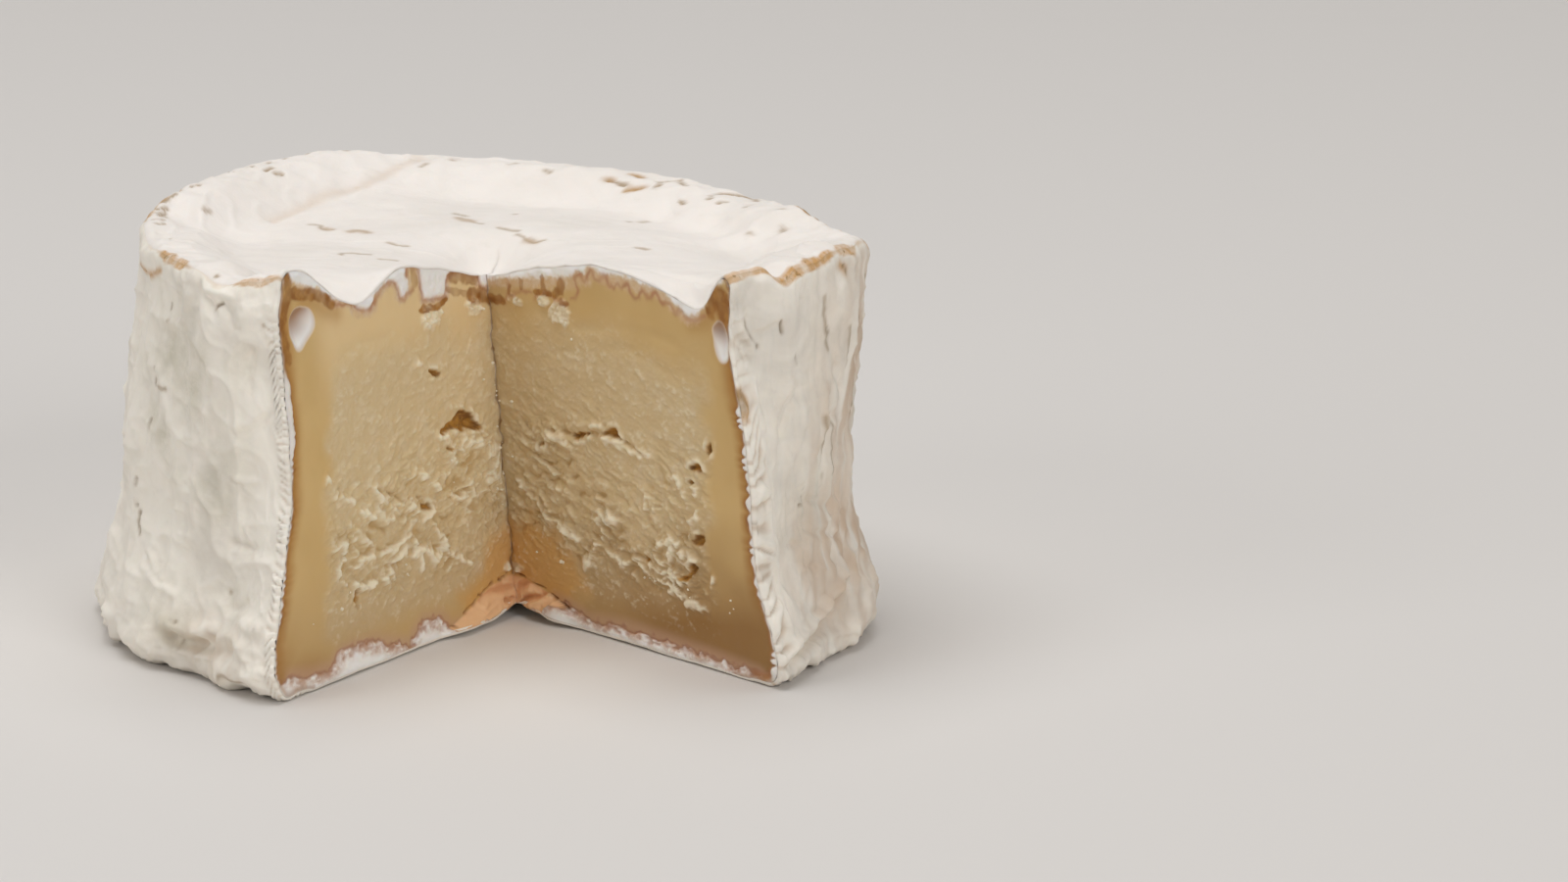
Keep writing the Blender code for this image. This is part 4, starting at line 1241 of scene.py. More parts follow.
# %% Masks of a cut face
def rind_section(face, s, z, to_outer, seed):
    """How deep a point lies in the paste, where the rind puffs up, and the masks."""
    meander = 0.30 * noise(s / 0.75, z / 0.75, 0.0, seed) + 0.25 * noise(s / 2.1, z / 2.1, 0.0, seed + 1)
    fuzz = 0.35 * noise(s / 0.35, z / 0.35, 0.0, seed + 37)
    fuzz = fuzz + 0.3 * noise(s / 0.8, z / 0.8, 2.0, seed + 38)
    paste = face["top"][::-1] + face["outer"][::-1] + face["base"][::-1]
    from_top, from_base = (distance_to(face[key], s, z) for key in ("top", "base"))
    from_side, bites = side_bites(face, s, z, to_outer, seed)
    fringe = smooth(0.3, -0.3, from_side) * smooth(50, 46, z)
    puffed = smooth(0.2, -0.9, from_side) * smooth(50, 46, z)
    loose = smooth(0.8, 2.6, from_top) * smooth(0.0, 5.0, s)
    deep = np.minimum(inside(paste, s, z) + meander * mix(0.35, 1.6, loose), from_side)
    fuzzy = smooth(3.5, 1.0, from_top)
    white = smooth(mix(0.20, 0.5, fuzzy), mix(-0.20, -0.55, fuzzy), deep + 0.6 * fuzzy * fuzz)
    past_side = smooth(-0.4, 0.0, from_side)
    piping = bump(from_side, 0.05, 0.24) * smooth(0.25, 0.6, bites) * smooth(48, 44, z)
    from_side = np.maximum(from_side, 0.0)
    # the lines of folded rind, drawn a little unsteadily
    wx = s + 0.25 * noise(s / 0.9, z / 0.9, 2.0, seed + 20)
    wz = z + 0.25 * noise(s / 0.9, z / 0.9, 5.0, seed + 21)
    lines = draw(wx, wz, [softened(path) for path in face["lines"]], 0.40)
    lines = np.maximum(lines * (0.85 + 0.3 * noise(s / 1.5, z / 1.5, 0.0, seed + 22)), 0.8 * piping)
    low = smooth(8.0, 4.0, z)
    stained = smooth(-1.5, -0.5, deep) * smooth(0.6, 0.0, deep)
    stained = stained * (0.45 + 0.7 * noise(s / 0.9, z / 0.5, 0.0, seed + 41))
    crimp = np.maximum(bump(deep, 0.2, 0.32), stained) * smooth(4.0, 1.5, from_base) * low
    brown = np.zeros_like(s)
    for width, strength, path in face["brown"]:
        brown = np.maximum(brown, strength * smooth(0.12, 0.5, draw(wx, wz, [path], width)))
    brown = brown * (0.9 + 0.25 * noise(s / 1.2, z / 1.0, 0.0, seed + 23))
    rust = smooth(0.75, 0.0, from_side + 0.2 * noise(s / 2, z / 2, 0.0, seed + 24))
    rust = np.maximum(brown, 0.75 * rust * (1 - low * 0.3)) * mix(1.0, past_side, smooth(50.0, 46.0, z))
    tan, dusk = browning(face, s, z, from_side, seed)
    halo_reach = by_height(face["halo"], s)
    halo = smooth(halo_reach, halo_reach * 0.35, from_top + 0.8 * fuzz)
    halo = halo * smooth(3.0, 0.0, -deep) * smooth(52.0, 46.0, s)
    pink = smooth(2.6, 0.3, from_base) * smooth(7.0, 4.5, z)
    masks = {"white": white, "line": np.clip(lines, 0, 1), "crimp": crimp, "rust": rust, "tan": tan}
    masks.update(dusk=dusk, halo=halo, pink=pink, fringe=fringe)
    return deep, puffed, masks


print("masks ready")


# %% The torn ledge on a cut face
def ledge_part(face, s, z):
    """0 above the crack over the torn ledge, 1 at the ledge's lowest edge."""
    edge_s, edge_z = zip(*sorted(face["ledge"]))
    foot_s, foot_z = zip(*sorted(face["base"]))
    top_z = np.interp(s, edge_s, edge_z)
    floor_z = np.interp(s, foot_s, foot_z) * 0.8
    return np.clip((top_z - z) / np.maximum(top_z - floor_z, 0.4), -1.0, 1.4)


print("ledge part ready")


# %% The chalky middle
def torn_middle(face, s, z, core, orange, seed):
    """Relief of the crumbly core, its crests (painted highlight), furrows (painted shade) and finest grains.
    """
    # it tears along lines that climb towards the apex
    along, across = s + face["rise"] * z, z - face["rise"] * s
    along = along + 0.8 * noise(s / 2.5, z / 2.5, 7.0, seed + 12)
    across = across + 0.8 * noise(s / 2.5, z / 2.5, 9.0, seed + 13)
    rough = smooth(37.0, 24.0, z + 3.0 * noise(s / 8, z / 8, 0, seed + 14)) * core
    rough = rough * smooth(8.0, 12.0, z) * (1 - 0.85 * orange)
    rough = rough * (0.65 + 0.5 * noise(s / 6, z / 6, 3.0, seed + 34))
    lumps = fractal(along / 2.6, across / 1.0, 0.0, seed + 5, 4, 0.6)
    torn = ridges(along / 3.2, across / 1.15, 1.0, seed + 6) ** 3 - 0.35
    grains = fractal(s / 0.7, z / 0.5, 0.0, seed + 2, 3)
    wx = s + 0.45 * noise(s / 1.1, z / 1.1, 2.0, seed + 15)
    wz = z + 0.45 * noise(s / 1.1, z / 1.1, 5.0, seed + 16)
    bold = 0.7 + 0.5 * noise(s / 1.4, z / 1.4, 0.0, seed + 17)
    crests = draw(wx, wz, face["ridges"], 0.62) * bold
    furrows = draw(wx, wz, face["grooves"], 0.42) * bold
    out = 0.12 * fractal(s / 5, z / 5, 2.0, seed + 7, 3) + 0.16 * grains * (0.4 * core + rough)
    out = out + rough * (0.62 * lumps + 0.42 * torn) + 0.14 * core * lumps
    out = out + face["bold"] * (0.80 * crests - 0.75 * furrows)
    height = rough * (lumps + 0.8 * torn + 0.5 * grains) + 1.1 * face["bold"] * crests
    # painted highlight: raised crumbs and ridges are coloured whiter
    crest = smooth(0.15, 0.75, height) * np.maximum(rough, smooth(0.2, 0.6, crests))
    crest = np.maximum(crest, 0.5 * core * smooth(0.15, 0.6, lumps * 0.6 + grains * 0.6))
    # painted shade: furrows and low hollows are coloured darker
    groove = np.maximum(smooth(-0.2, -0.7, rough * (lumps + 0.8 * torn)), smooth(0.3, 0.8, furrows))
    return out, crest, groove, grains


print("core ready")


# %% Holes and pale crumbly patches
def holed(face, s, z, out, crest, grains, seed):
    """The relief and crests with the holes sunk in and the pale patches raised."""
    ragged = 0.22 * noise(s / 0.7, z / 0.7, 0.0, seed + 9)
    lipped = smooth(-0.2, 0.5, noise(s / 1.2, z / 1.2, 6.0, seed + 35))
    hole = np.zeros_like(s)
    for outline in face["holes"]:
        near = inside(rounded(outline), s, z) + ragged + 0.12 * grains
        brink = lipped * bump(near, -0.5, 0.4)
        out = out - 1.2 * smooth(-0.2, 0.7, near) + 0.35 * brink
        hole = np.maximum(hole, smooth(-0.2, 0.15, near))
        # the raised brink of a hole gets the crests' painted highlight
        crest = np.maximum(crest, 0.8 * brink)
    pale = blots(s, z, face["pale"]) + 0.35 * fractal(s / 1.5, z / 1.5, 0.0, seed + 39, 3)
    pale = smooth(0.35, 0.6, pale) * (0.8 + 0.4 * grains)
    return out + 0.45 * pale * (0.7 + grains), np.maximum(crest, pale), hole


print("holes ready")


# %% Relief of a cut face, all together
def face_relief(face, s, z, to_outer, seed):
    """How far the paste stands proud of the knife's plane, and its masks."""
    deep, puffed, masks = rind_section(face, s, z, to_outer, seed)
    reach = by_height(face["core"], z) + 1.5 * noise(s / 4, z / 4, 0, seed + 3)
    top_fade = smooth(52.0, 42.0, z + 2.0 * noise(s / 7, z / 4, 0, seed + 4))
    core = smooth(reach + 3.0, reach - 2.0, s) * smooth(3.0, 9.0, z) * top_fade
    ripest = inside(face["orange"], s, z) + 1.2 * noise(s / 3, z / 3, 0.0, seed + 11)
    orange = smooth(-3.2, 1.6, ripest)
    out, crest, groove, grains = torn_middle(face, s, z, core, orange, seed)
    arcs = 0.20 * draw(s, z, face["arcs"], 0.9) * (0.5 + 0.5 * noise(s / 5, z / 5, 0, seed + 8))
    out = out + 0.12 * core - arcs
    out, crest, hole = holed(face, s, z, out, crest, grains, seed)
    # the pocket of white rind under the rim, sunk deeper and given painted shade towards pocket_dark and
    # along its inner edge
    pocket = inside(rounded(face["pocket"]), s, z) + 0.1 * noise(s / 1.3, z / 1.3, 0.0, seed + 18)
    dark_s, dark_z = face["pocket_dark"]
    shaded = smooth(6.0, 1.5, np.hypot(s - dark_s, z - dark_z))
    out = out - (0.9 + 0.5 * shaded) * smooth(-0.2, 2.0, pocket) ** 0.7
    masks["pocket"] = smooth(-0.3, 0.15, pocket)
    masks["shaded"] = np.maximum(shaded, 0.4 * smooth(0.7, 0.0, pocket)) * masks["pocket"]
    # painted light: the upper part of the face, short of its outer edge, is made a lighter cream
    masks["upper"] = face["top_light"] * smooth(36.0, 52.0, z) * smooth(48.0, 40.0, s)
    # the rind is fluffy, and it sinks where it has browned
    fluffy = 0.10 + 0.22 * fractal(s / 1.6, z / 1.6, 4.0, seed + 19, 3) + 0.35 * puffed
    browned = np.maximum(masks["line"], masks["crimp"])
    out = mix(out, fluffy, masks["white"]) - 0.22 * browned * smooth(0.6, 0.0, deep)
    out = out + 0.10 * masks["halo"] * noise(s / 1.6, z / 1.9, 0.0, seed + 26)
    masks.update(core=core, crest=crest * (1 - hole), groove=groove * (1 - hole), hole=hole)
    masks["orange"] = orange * (1 - masks["white"])
    # less of the low brown and painted shade where the paste is orange
    masks["dusk"] = masks["dusk"] * (1 - 0.8 * orange)
    return out, masks


print("relief ready")


# %% The ledge's petals of rind
def petals_of(face, edge, s, z, seed):
    """How far down the ledge a point is, the petals' mask, their share of the push and shade."""
    t = ledge_part(face, s, z)
    petals = smooth(0.0, 0.12, t) * smooth(LEDGE_END[edge] + 2.0, LEDGE_END[edge] - 1.0, s)
    swell = 0.18 * fractal(s / 3.4, z / 1.3, 1.0, seed + 30, 3)
    swell = swell + 0.12 * (ridges(s / 4.0, z / 1.3 + s / 5, 2.0, seed + 31) ** 3 - 0.4)
    wandering = 0.25 * noise(s / 1.3, z / 1.3, 0.0, seed + 40)
    folds = draw(s + wandering, z + wandering, [softened(path) for path in face["ledge_folds"]], 0.5)
    swell = swell - 0.42 * folds + 0.25 * draw(s, z + 0.9, face["ledge_folds"], 0.7)
    share = smooth(0.0, 1.0, t) ** 0.75
    share = share + petals * swell * smooth(1.3, 0.7, t) * smooth(0.0, 1.5, s)
    share = np.clip(share, 0.0, 1.3) * smooth(-0.05, 0.1, t)
    shade = np.maximum(0.55 * smooth(0.3, 0.95, folds), 0.35 * smooth(0.05, -0.25, swell)) * petals
    return t, petals, share, shade


print("petals ready")


# %% The two fine cracks of a cut face
def apex_crack(s, z):
    """The beaded line where the two cuts meet."""
    beads = 0.75 + 0.5 * noise(0.0, z / 0.7, 0.0, 61)
    dark = mix(0.62, 0.45, smooth(30, 46, z)) + 0.3 * noise(0.0, z / 1.3, 0.0, 62) * smooth(52, 44, z)
    return smooth(0.22, 0.03, s * beads) * smooth(6.2, 7.2, z) * dark


def ledge_slit(face, s, z, seed):
    """The broken slit that runs along the top of the ledge."""
    slit = draw(s, z + 0.3 * noise(s / 0.8, z / 0.8, 0.0, seed + 32), [face["ledge"][1:]], 0.2)
    return slit * smooth(-0.6, 0.1, noise(s / 1.2, z, 0.0, seed + 33))


print("cracks ready")


# %% Making a cut face
FACE_COLUMNS, FACE_ROWS = 312, 306


def cut_face(name, edge, face, seed):
    """The finished piece, and how far along and up the cut each of its points lies."""
    obj = new_grid(name, FACE_COLUMNS, FACE_ROWS)
    u, v = flat_places(obj)
    if edge == LAST:
        u = 1.0 - u
    u = 0.45 * u + 0.55 * u**1.6  # columns closer together near the apex
    lower, outer, upper = base_lines[edge], side_lines[edge], top_lines[edge][::-1]
    s, z = stretched(lower, outer, upper, u, v).T
    outlines = ([tuple(p) for p in line] for line in (lower, outer, upper))
    to_lower, to_outer, to_upper = (distance_to(line, s, z) for line in outlines)
    out, masks = face_relief(face, s, z, to_outer, seed)
    settled = smooth(0.0, 0.55, np.minimum(np.minimum(to_lower, to_upper), to_outer))
    out = out * settled * smooth(0.15, 1.4, s)
    # the torn ledge stands forward of the cut
    t, petals, share, shade = petals_of(face, edge, s, z, seed)
    p = from_wall(edge, s, z, out * (1 - 0.7 * petals))
    push = ledge_push(p[:, 0], p[:, 1], np.zeros_like(z))
    p[:, :2] += push * share[:, None]
    p[:, 2] += 0.5 * share * np.hypot(push[:, 0], push[:, 1]) / 2.0 * smooth(0.7, 1.1, t)
    # the line where the two cuts meet wanders a little
    ends = smooth(0.0, 1.5, np.minimum(z - lower[0, 1], upper[0, 1] - z))
    p[:, 0] += 0.28 * noise(0.0, z / 1.6, 0.0, 60) * smooth(2.5, 0.0, s) * ends
    slit = ledge_slit(face, s, z, seed)
    p -= wall_frame(edge)[1] * (0.6 * slit * settled * smooth(0.0, 2.0, s))[:, None]
    place_points(obj, *p.T)
    masks["crack"] = np.maximum(apex_crack(s, z), 0.9 * slit)
    masks["petals"] = petals * (1 - masks["white"])
    masks["shade"] = shade
    paint(obj, masks)
    print(name, len(obj.data.polygons), "faces")
    return obj, s, z


cut_left, left_s, left_z = cut_face("cut_left", LAST, LEFT_FACE, 100)
cut_right, right_s, right_z = cut_face("cut_right", FIRST, RIGHT_FACE, 200)

# %% [markdown]
# ## Crumbs
# The knife pulled a few grains of the chalky core out with it, and they stick where
# they were dragged. Particles would not be exported, so one small ball is squashed
# and roughened afresh for each grain, and all of them make one mesh.

# %% Crumbs on the cut faces
CRUMB_SIZES = (0.14, 0.34)  # half sizes in millimetres, least and most
# where they lie: distance from the apex line, height, spread and how many
CRUMB_SPOTS = {
    "left": [
        (2.2, 47.5, 1.2, 1), (0.9, 38, 1.8, 3), (0.9, 29, 2.5, 4), (0.8, 20, 2.5, 3), (27.5, 12.4, 1.6, 3),
        (44, 14, 2.0, 2), (51, 11.5, 1.6, 1), (12.2, 26.4, 1.6, 2),
    ],
    "right": [
        (19, 47.4, 0.9, 2), (0.9, 34, 2.0, 3), (0.9, 25, 2.5, 3), (6, 11.2, 1.2, 1), (11.3, 9.2, 1.2, 2),
        (33, 11.6, 1.8, 3), (41.5, 11.8, 1.6, 2), (51, 10.5, 1.2, 3),
    ],
}
rng = np.random.default_rng(7)
bpy.ops.object.select_all(action="DESELECT")
bpy.ops.mesh.primitive_ico_sphere_add(subdivisions=2, radius=1.0)
crumbs = bpy.context.object
crumbs.name = crumbs.data.name = "paste_crumbs"
ball = np.array([v.co[:] for v in crumbs.data.vertices])
ball_faces = [list(poly.vertices) for poly in crumbs.data.polygons]
points, faces = [], []
for name, wall, ws, wz in (("left", cut_left, left_s, left_z), ("right", cut_right, right_s, right_z)):
    co = np.array([v.co[:] for v in wall.data.vertices]) / MM
    for s0, z0, spread, count in CRUMB_SPOTS[name]:
        for _ in range(count):
            s1, z1 = s0 + spread * rng.normal(), z0 + spread * rng.normal()
            centre = co[np.argmin((ws - s1) ** 2 + (wz - z1) ** 2)]
            size = rng.uniform(*CRUMB_SIZES) * np.array([1.0, 0.8, rng.uniform(0.6, 1.0)])
            lumpy = 1.0 + 0.28 * noise(*(ball.T * 1.7 + rng.uniform(0, 50, 3)[:, None]), 0)
            faces += [[i + len(points) * len(ball) for i in face] for face in ball_faces]
            points.append(centre + ball * lumpy[:, None] * size)
crumbs.data.clear_geometry()
crumbs.data.from_pydata((np.concatenate(points) * MM).tolist(), [], faces)
crumbs.data.shade_smooth()
print(len(points), "crumbs,", len(faces), "faces")

# %% [markdown]
# ## Shader maths in plain Python
# A rind's colour is many thin layers: white mould, grey where it is thin, ochre, brown
# specks. Wiring each layer node by node is slow to write and hard to read. A small
# class wraps a node's socket instead, so that masks combine with the usual operators
# and each layer is one line.


# %% Sockets that can be added and multiplied
class Socket:
    def __init__(self, material, output):
        self.material, self.output = material, output

    def maths(self, operation, *values):
        settings = {"operation": operation}
        return self.material.node("ShaderNodeMath", settings, dict(enumerate(values)))

    def __add__(self, other):
        return self.maths("ADD", self, other)

    def __sub__(self, other):
        return self.maths("SUBTRACT", self, other)

    def __rsub__(self, other):
        return self.maths("SUBTRACT", other, self)

    def __mul__(self, other):
        return self.maths("MULTIPLY", self, other)

    __radd__, __rmul__ = __add__, __mul__


print("sockets ready")


# %% A material with short ways to add nodes
class Finish:
    """A material with one Principled shader."""

    def __init__(self, name):
        self.data = bpy.data.materials.new(name)
        self.data.use_nodes = True
        self.tree = self.data.node_tree
        self.shader = self.tree.nodes["Principled BSDF"]

    def set(self, socket, value):
        if isinstance(value, Socket):
            self.tree.links.new(value.output, socket)
        elif isinstance(value, tuple) and socket.type == "RGBA":
            socket.default_value = (*value, 1.0)
        else:
            socket.default_value = value

    def node(self, kind, settings=None, inputs=None, out=0):
        """A node of this type, its settings first, then the values or links of its sockets."""
        made = self.tree.nodes.new(kind)
        for key, value in (settings or {}).items():
            setattr(made, key, value)
        for key, value in (inputs or {}).items():
            self.set(made.inputs[key], value)
        return Socket(self, made.outputs[out])

    def attribute(self, name):
        return self.node("ShaderNodeAttribute", {"attribute_name": name}, out="Fac")

    def grain(self, scale, detail, roughness, distortion=0.0):
        """Noise that is fixed to the piece."""
        place = self.node("ShaderNodeTexCoord", out="Object")
        inputs = {"Vector": place, "Scale": scale, "Detail": detail}
        inputs.update({"Roughness": roughness, "Distortion": distortion})
        return self.node("ShaderNodeTexNoise", {"noise_dimensions": "3D"}, inputs, out="Fac")

    def between(self, low, high, value):
        """0 below low to 1 above high, as an S-curve."""
        inputs = {"Value": value, "From Min": low, "From Max": high}
        return self.node("ShaderNodeMapRange", {"interpolation_type": "SMOOTHSTEP"}, inputs)

    def blend(self, amount, under, over):
        """One colour laid over another."""
        settings = {"data_type": "RGBA", "clamp_factor": True}
        return self.node("ShaderNodeMix", settings, {0: amount, 6: under, 7: over}, out=2)

    def wear(self, colour, roughness, bump_height=None, distance=0.0002, strength=1.0):
        """Gives it its colour and roughness, and a fine relief if there is one."""
        self.set(self.shader.inputs["Base Color"], colour)
        self.set(self.shader.inputs["Roughness"], roughness)
        if bump_height is not None:
            inputs = {"Height": bump_height, "Distance": distance, "Strength": strength}
            self.set(self.shader.inputs["Normal"], self.node("ShaderNodeBump", {}, inputs))

    def soften(self, weight, radius, shine):
        """Lets light soak a little way in, and sets how much of it shines off."""
        values = {"Subsurface Weight": weight, "Subsurface Radius": radius}
        values.update({"Subsurface Scale": 1.0, "Specular IOR Level": shine})
        for name, value in values.items():
            self.shader.inputs[name].default_value = value


def srgb(*levels):
    """A colour given as 0-255 screen values, made linear."""
    return tuple(c / 255 / 12.92 if c < 11 else ((c / 255 + 0.055) / 1.055) ** 2.4 for c in levels)


print("middle grey is", round(srgb(119, 119, 119)[0], 3))

# %% [markdown]
# ## The rind's finish
# White mould is matt and a little velvety. It is whitest on top, greyer where it is
# thin on the side, and ochre to brown where it has worn away along the rim. Flat white
# would look like plaster, and an image would need a flattened skin. So the mottling is
# noise fixed to the piece, each stain follows a mask that was painted with the relief,
# the bare mask also carries painted shade, and a little light soaks in.

# %% Rind finish
WHITE = srgb(239, 232, 225)
SIDE_WHITE = srgb(253, 246, 234)
GREY = srgb(214, 207, 196)
OLIVE = srgb(190, 184, 160)
BARE_AND_SHADE = srgb(202, 174, 146)
OCHRE = srgb(200, 150, 84)
BROWN = srgb(150, 120, 76)
DARK = srgb(84, 68, 54)


def rind_colours(m, white, greyness):
    """White mould with cloudy grey and paler flecks."""
    broad = m.grain(55.0, 4.0, 0.6, distortion=0.6)
    colour = m.blend(m.between(0.40, 0.68, broad) * greyness, white, GREY)
    colour = m.blend(m.between(0.58, 0.78, m.grain(120.0, 4.0, 0.6)) * (0.35 * greyness), colour, OLIVE)
    return m.blend(m.between(0.55, 0.8, m.grain(330.0, 4.0, 0.65)) * 0.22, colour, GREY)


def rind_finish(name, white, greyness):
    m = Finish(name)
    fine = m.grain(300.0, 4.0, 0.6)
    velvet = m.grain(1700.0, 3.0, 0.6)
    colour = rind_colours(m, white, greyness)
    mottled = m.between(0.36, 0.60, m.grain(210.0, 6.0, 0.75))
    colour = m.blend(m.attribute("green") * (mottled * 0.5 + 0.4), colour, OLIVE)
    # bare, greyer rind, with painted shade in the side's crimp valleys, low on its right and along a crease
    # of the top
    colour = m.blend(m.attribute("bare_and_shade") * 0.85, colour, BARE_AND_SHADE)
    speckled = m.between(0.30, 0.62, m.grain(700.0, 3.0, 0.6))
    colour = m.blend(m.attribute("ochre") * (speckled * 0.4 + 0.6), colour, OCHRE)
    specks = m.between(0.60, 0.72, m.grain(1100.0, 2.0, 0.5)) * m.between(0.35, 0.8, m.attribute("ochre"))
    colour = m.blend(specks * 0.8, colour, BROWN)
    colour = m.blend(m.attribute("brown") * 0.8, colour, BROWN)
    colour = m.blend(m.attribute("crack") * 0.7, colour, DARK)
    height = velvet * 0.35 + fine * 0.65
    m.wear(colour, fine * 0.15 + 0.62, height, 0.00020, 0.5)
    m.soften(0.12, (0.0014, 0.0010, 0.0007), 0.32)
    return m.data


top.data.materials.append(rind_finish("white_mould_top", WHITE, 0.22))
side.data.materials.append(rind_finish("white_mould_side", SIDE_WHITE, 0.55))
base.data.materials.append(side.data.materials[0])
print("rind finished")

# %% [markdown]
# ## The paste's finish
# The ripe band is smooth and slightly glossy; the core is paler and dry. Holes and the
# paste next to the rind have browned. One material could be given to each zone, but
# on a cut cheese the zones melt into one another. A single finish for both faces lays
# each colour over the last by its painted mask, from the cream up to the pockets.

# %% Colours of the paste, from the middle of the face outwards
CORE, CORE_PALE = srgb(222, 200, 158), srgb(233, 218, 188)
# crests: whiter chalk with painted highlight; furrows: painted shade
CREST_CHALK_AND_HIGHLIGHT, FURROW_SHADE = srgb(246, 237, 213), srgb(192, 156, 98)
HOLE, HOLE_DEEP = srgb(188, 138, 62), srgb(140, 98, 48)
# the last is painted light, a lighter cream high on the left face
CREAM, CREAM_DEEP, CREAM_LIT = srgb(224, 192, 134), srgb(212, 178, 118), srgb(242, 215, 166)
# the last is the brown low on the faces, partly painted shade
ORANGE, CARAMEL, RIPE_AND_SHADE = srgb(216, 166, 94), srgb(184, 132, 66), srgb(152, 112, 60)
print("cream is", [round(c, 3) for c in CREAM])

# %% Colours of the rind in the cut
HALO, HALO_PALE = srgb(222, 190, 152), srgb(236, 220, 200)
# the rind in the cut is painted whiter than on the top, a painted lightening of the upright faces
CUT_WHITE_LIT, FRINGE, PINK = srgb(255, 253, 249), srgb(226, 215, 202), srgb(198, 160, 134)
CRIMP, FOLD_LINE = srgb(176, 128, 100), srgb(188, 134, 98)
RUST, RUST_PALE, CRACK = srgb(152, 100, 48), srgb(176, 124, 62), srgb(148, 98, 44)
PETAL, PETAL_SHADE = srgb(240, 194, 148), srgb(206, 142, 92)
POCKET, POCKET_SHADE = srgb(254, 251, 246), srgb(176, 138, 108)
print("petals are", [round(c, 3) for c in PETAL])

# %% Paste finish
m = Finish("ripe_paste")
speckle = m.grain(420.0, 4.0, 0.65)
cloud = m.grain(60.0, 3.0, 0.5)
crumb = m.grain(900.0, 3.0, 0.6)
blotch = m.grain(500.0, 3.0, 0.6)
core, pink = m.attribute("core"), m.attribute("pink")
chalk = m.blend(m.between(0.42, 0.72, speckle) * 0.5, CORE, CORE_PALE)
halo = m.blend(m.between(0.42, 0.66, speckle) * 0.6, HALO, HALO_PALE)
pit = m.blend(m.between(0.38, 0.6, speckle), HOLE_DEEP, HOLE)
flaked = m.blend(pink * m.between(0.35, 0.65, speckle) * 0.9, rind_colours(m, CUT_WHITE_LIT, 0.05), PINK)
flaked = m.blend(m.attribute("fringe") * 0.6, flaked, FRINGE)
rust = m.blend(m.between(0.4, 0.65, blotch), RUST, RUST_PALE)
petals = m.blend(m.attribute("shade"), PETAL, PETAL_SHADE)
pocket = m.blend(m.attribute("shaded"), POCKET, POCKET_SHADE)
print("layers mixed")

# %% Laying the paste's layers, each by its mask
# painted light among these: the upper cream, the crests' highlight, shade in the furrows, the pocket and the
# ledge's folds, and in part the low brown
LAYERS = (
    ("upper", 1.0, CREAM_LIT), ("core", 0.9, chalk), ("orange", 0.8, ORANGE), ("tan", 1.0, CARAMEL),
    ("dusk", 1.0, RIPE_AND_SHADE), ("groove", 0.6, FURROW_SHADE), ("crest", 0.74, CREST_CHALK_AND_HIGHLIGHT), ("halo", 0.8, halo),
    ("pink", 0.6, PINK), ("hole", 1.0, pit), ("white", 1.0, flaked), ("crimp", 0.75, CRIMP),
    ("line", 0.85, FOLD_LINE), ("rust", 1.0, rust), ("petals", 1.0, petals), ("crack", 1.0, CRACK),
    ("pocket", 1.0, pocket),
)
colour = m.blend(m.between(0.35, 0.7, cloud) * 0.6, CREAM, CREAM_DEEP)
for mask, strength, layer in LAYERS:
    colour = m.blend(m.attribute(mask) * strength, colour, layer)
height = crumb * (core * 0.7 + 0.12) + speckle * (core * 0.5)
m.wear(colour, 0.46 + 0.24 * core, height, 0.00022, 0.55)
m.soften(0.2, (0.0024, 0.0015, 0.0008), 0.4)
for obj in (cut_left, cut_right):
    obj.data.materials.append(m.data)
print(len(LAYERS), "layers laid")

# %% Crumb finish
m = Finish("paste_crumb")
m.wear(srgb(238, 228, 204), 0.7)
crumbs.data.materials.append(m.data)
print("crumbs finished")

# %% [markdown]
# ## Floor and light
# White on white needs gentle contrast. A dark board would flatter the rind but colour
# it too. So the floor is plain, pale and curved up behind, with one large soft light
# overhead and weaker ones from the front. The colours are kept as they are, with no
# film curve.

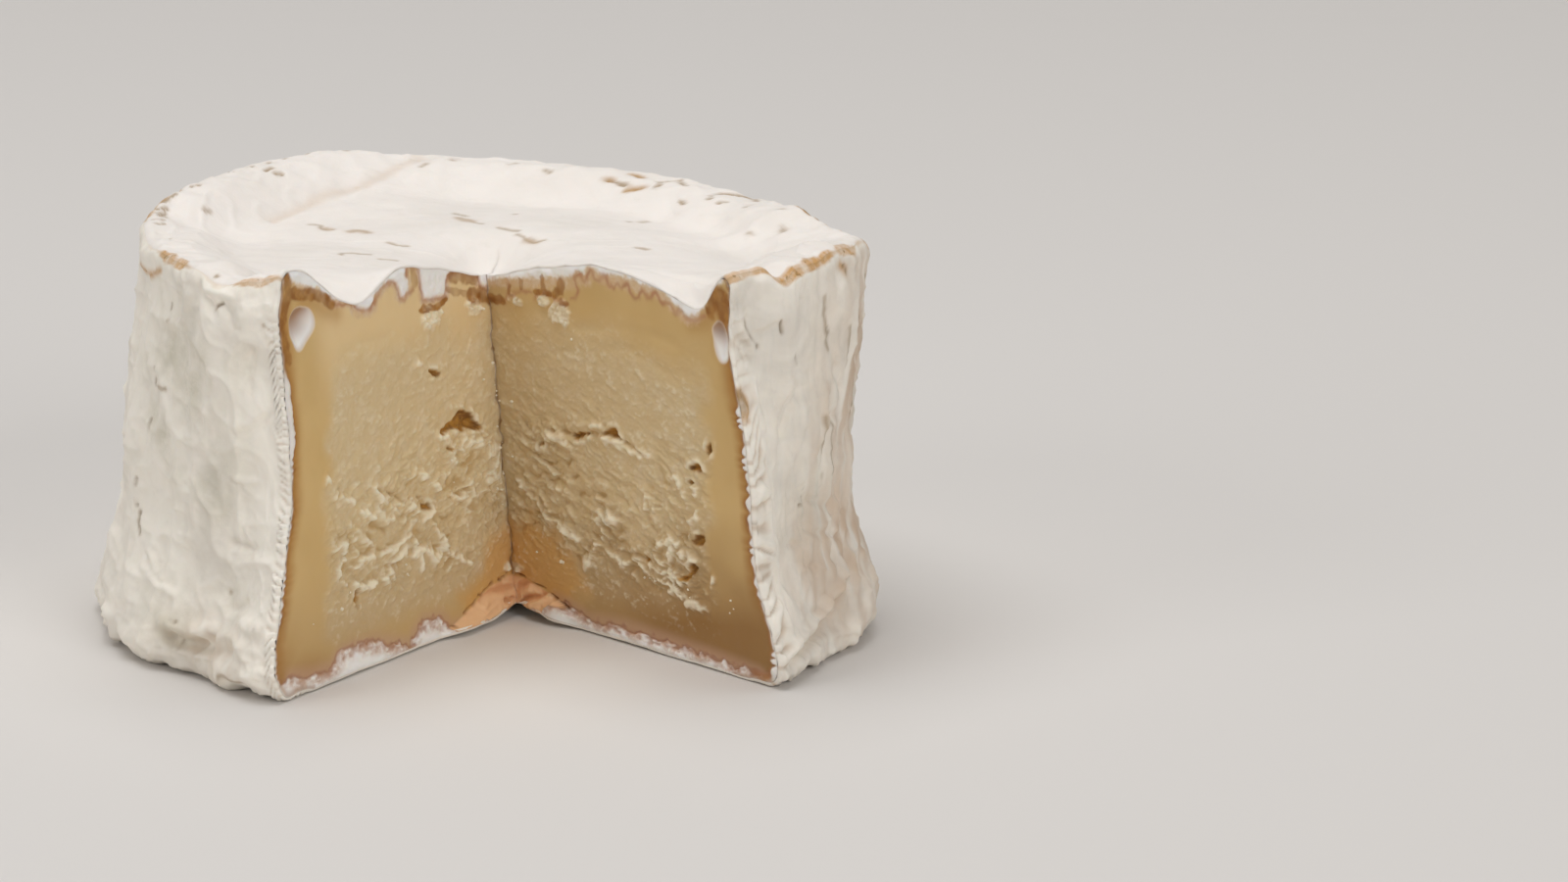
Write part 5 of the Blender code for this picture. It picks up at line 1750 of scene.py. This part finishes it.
# %% Floor
FLOOR_WIDE, FLOOR_START = 8.0, -2.0
FLAT_RUN, BEND, WALL_RUN = 3.4, 0.9, 2.2  # metres that lie flat, the bend's radius, and the rest
FLOOR_DROP = 0.0001  # keeps it clear of the base
bpy.ops.object.select_all(action="DESELECT")
bpy.ops.mesh.primitive_grid_add(x_subdivisions=2, y_subdivisions=60, size=1.0)
floor = bpy.context.object
floor.name = floor.data.name = "floor"
co = np.empty(len(floor.data.vertices) * 3, dtype=np.float32)
floor.data.vertices.foreach_get("co", co)
co = co.reshape(-1, 3)
run = (co[:, 1] + 0.5) * (FLAT_RUN + WALL_RUN)
turn = np.clip((run - FLAT_RUN) / BEND, 0.0, math.pi / 2)
upright = np.maximum(run - FLAT_RUN - BEND * math.pi / 2, 0.0)
co[:, 0] *= FLOOR_WIDE
co[:, 1] = FLOOR_START + np.minimum(run, FLAT_RUN) + BEND * np.sin(turn)
co[:, 2] = BEND * (1 - np.cos(turn)) + upright - FLOOR_DROP
floor.data.vertices.foreach_set("co", co.ravel())
floor.data.shade_smooth()
m = Finish("studio_floor")
m.wear(srgb(218, 214, 210), 0.8)
floor.data.materials.append(m.data)
print("floor", floor.name)

# %% Lights: name, place, size and power; all aim at the middle of the cheese
LIGHTS = (
    ("overhead", (-0.15, 0.15, 1.3), (1.3, 1.0), 12.0),
    ("front_right", (0.9, -1.3, 0.8), (0.8, 0.8), 9.0),
    ("front_left", (-1.3, -0.9, 0.7), (0.8, 0.8), 4.5),
)
AIM = Vector((0, 0, 0.03))
for name, place, size, power in LIGHTS:
    data = bpy.data.lights.new(name, "AREA")
    data.shape, data.size, data.size_y = "RECTANGLE", size[0], size[1]
    data.energy = power
    light = bpy.data.objects.new(name, data)
    light.location = place
    light.rotation_euler = (AIM - Vector(place)).to_track_quat("-Z", "Y").to_euler()
    bpy.context.scene.collection.objects.link(light)
print("lights", [name for name, *_ in LIGHTS])

# %% Sky
SKY, SKY_STRENGTH = (1.0, 0.985, 0.97, 1.0), 0.22
world = bpy.data.worlds.new("studio")
bpy.context.scene.world = world
world.use_nodes = True
world.node_tree.nodes["Background"].inputs["Color"].default_value = SKY
world.node_tree.nodes["Background"].inputs["Strength"].default_value = SKY_STRENGTH
bpy.context.scene.view_settings.view_transform = "Standard"
print("sky strength", SKY_STRENGTH)

# %% [markdown]
# ## Riding on the body
# Nothing on a cheese moves. Every piece rides on the one body and stands for the plain
# solid.

# %% Ride and replace
for obj in (side, top, base, cut_left, cut_right, crumbs):
    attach(obj, "root")
    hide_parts("cheese")
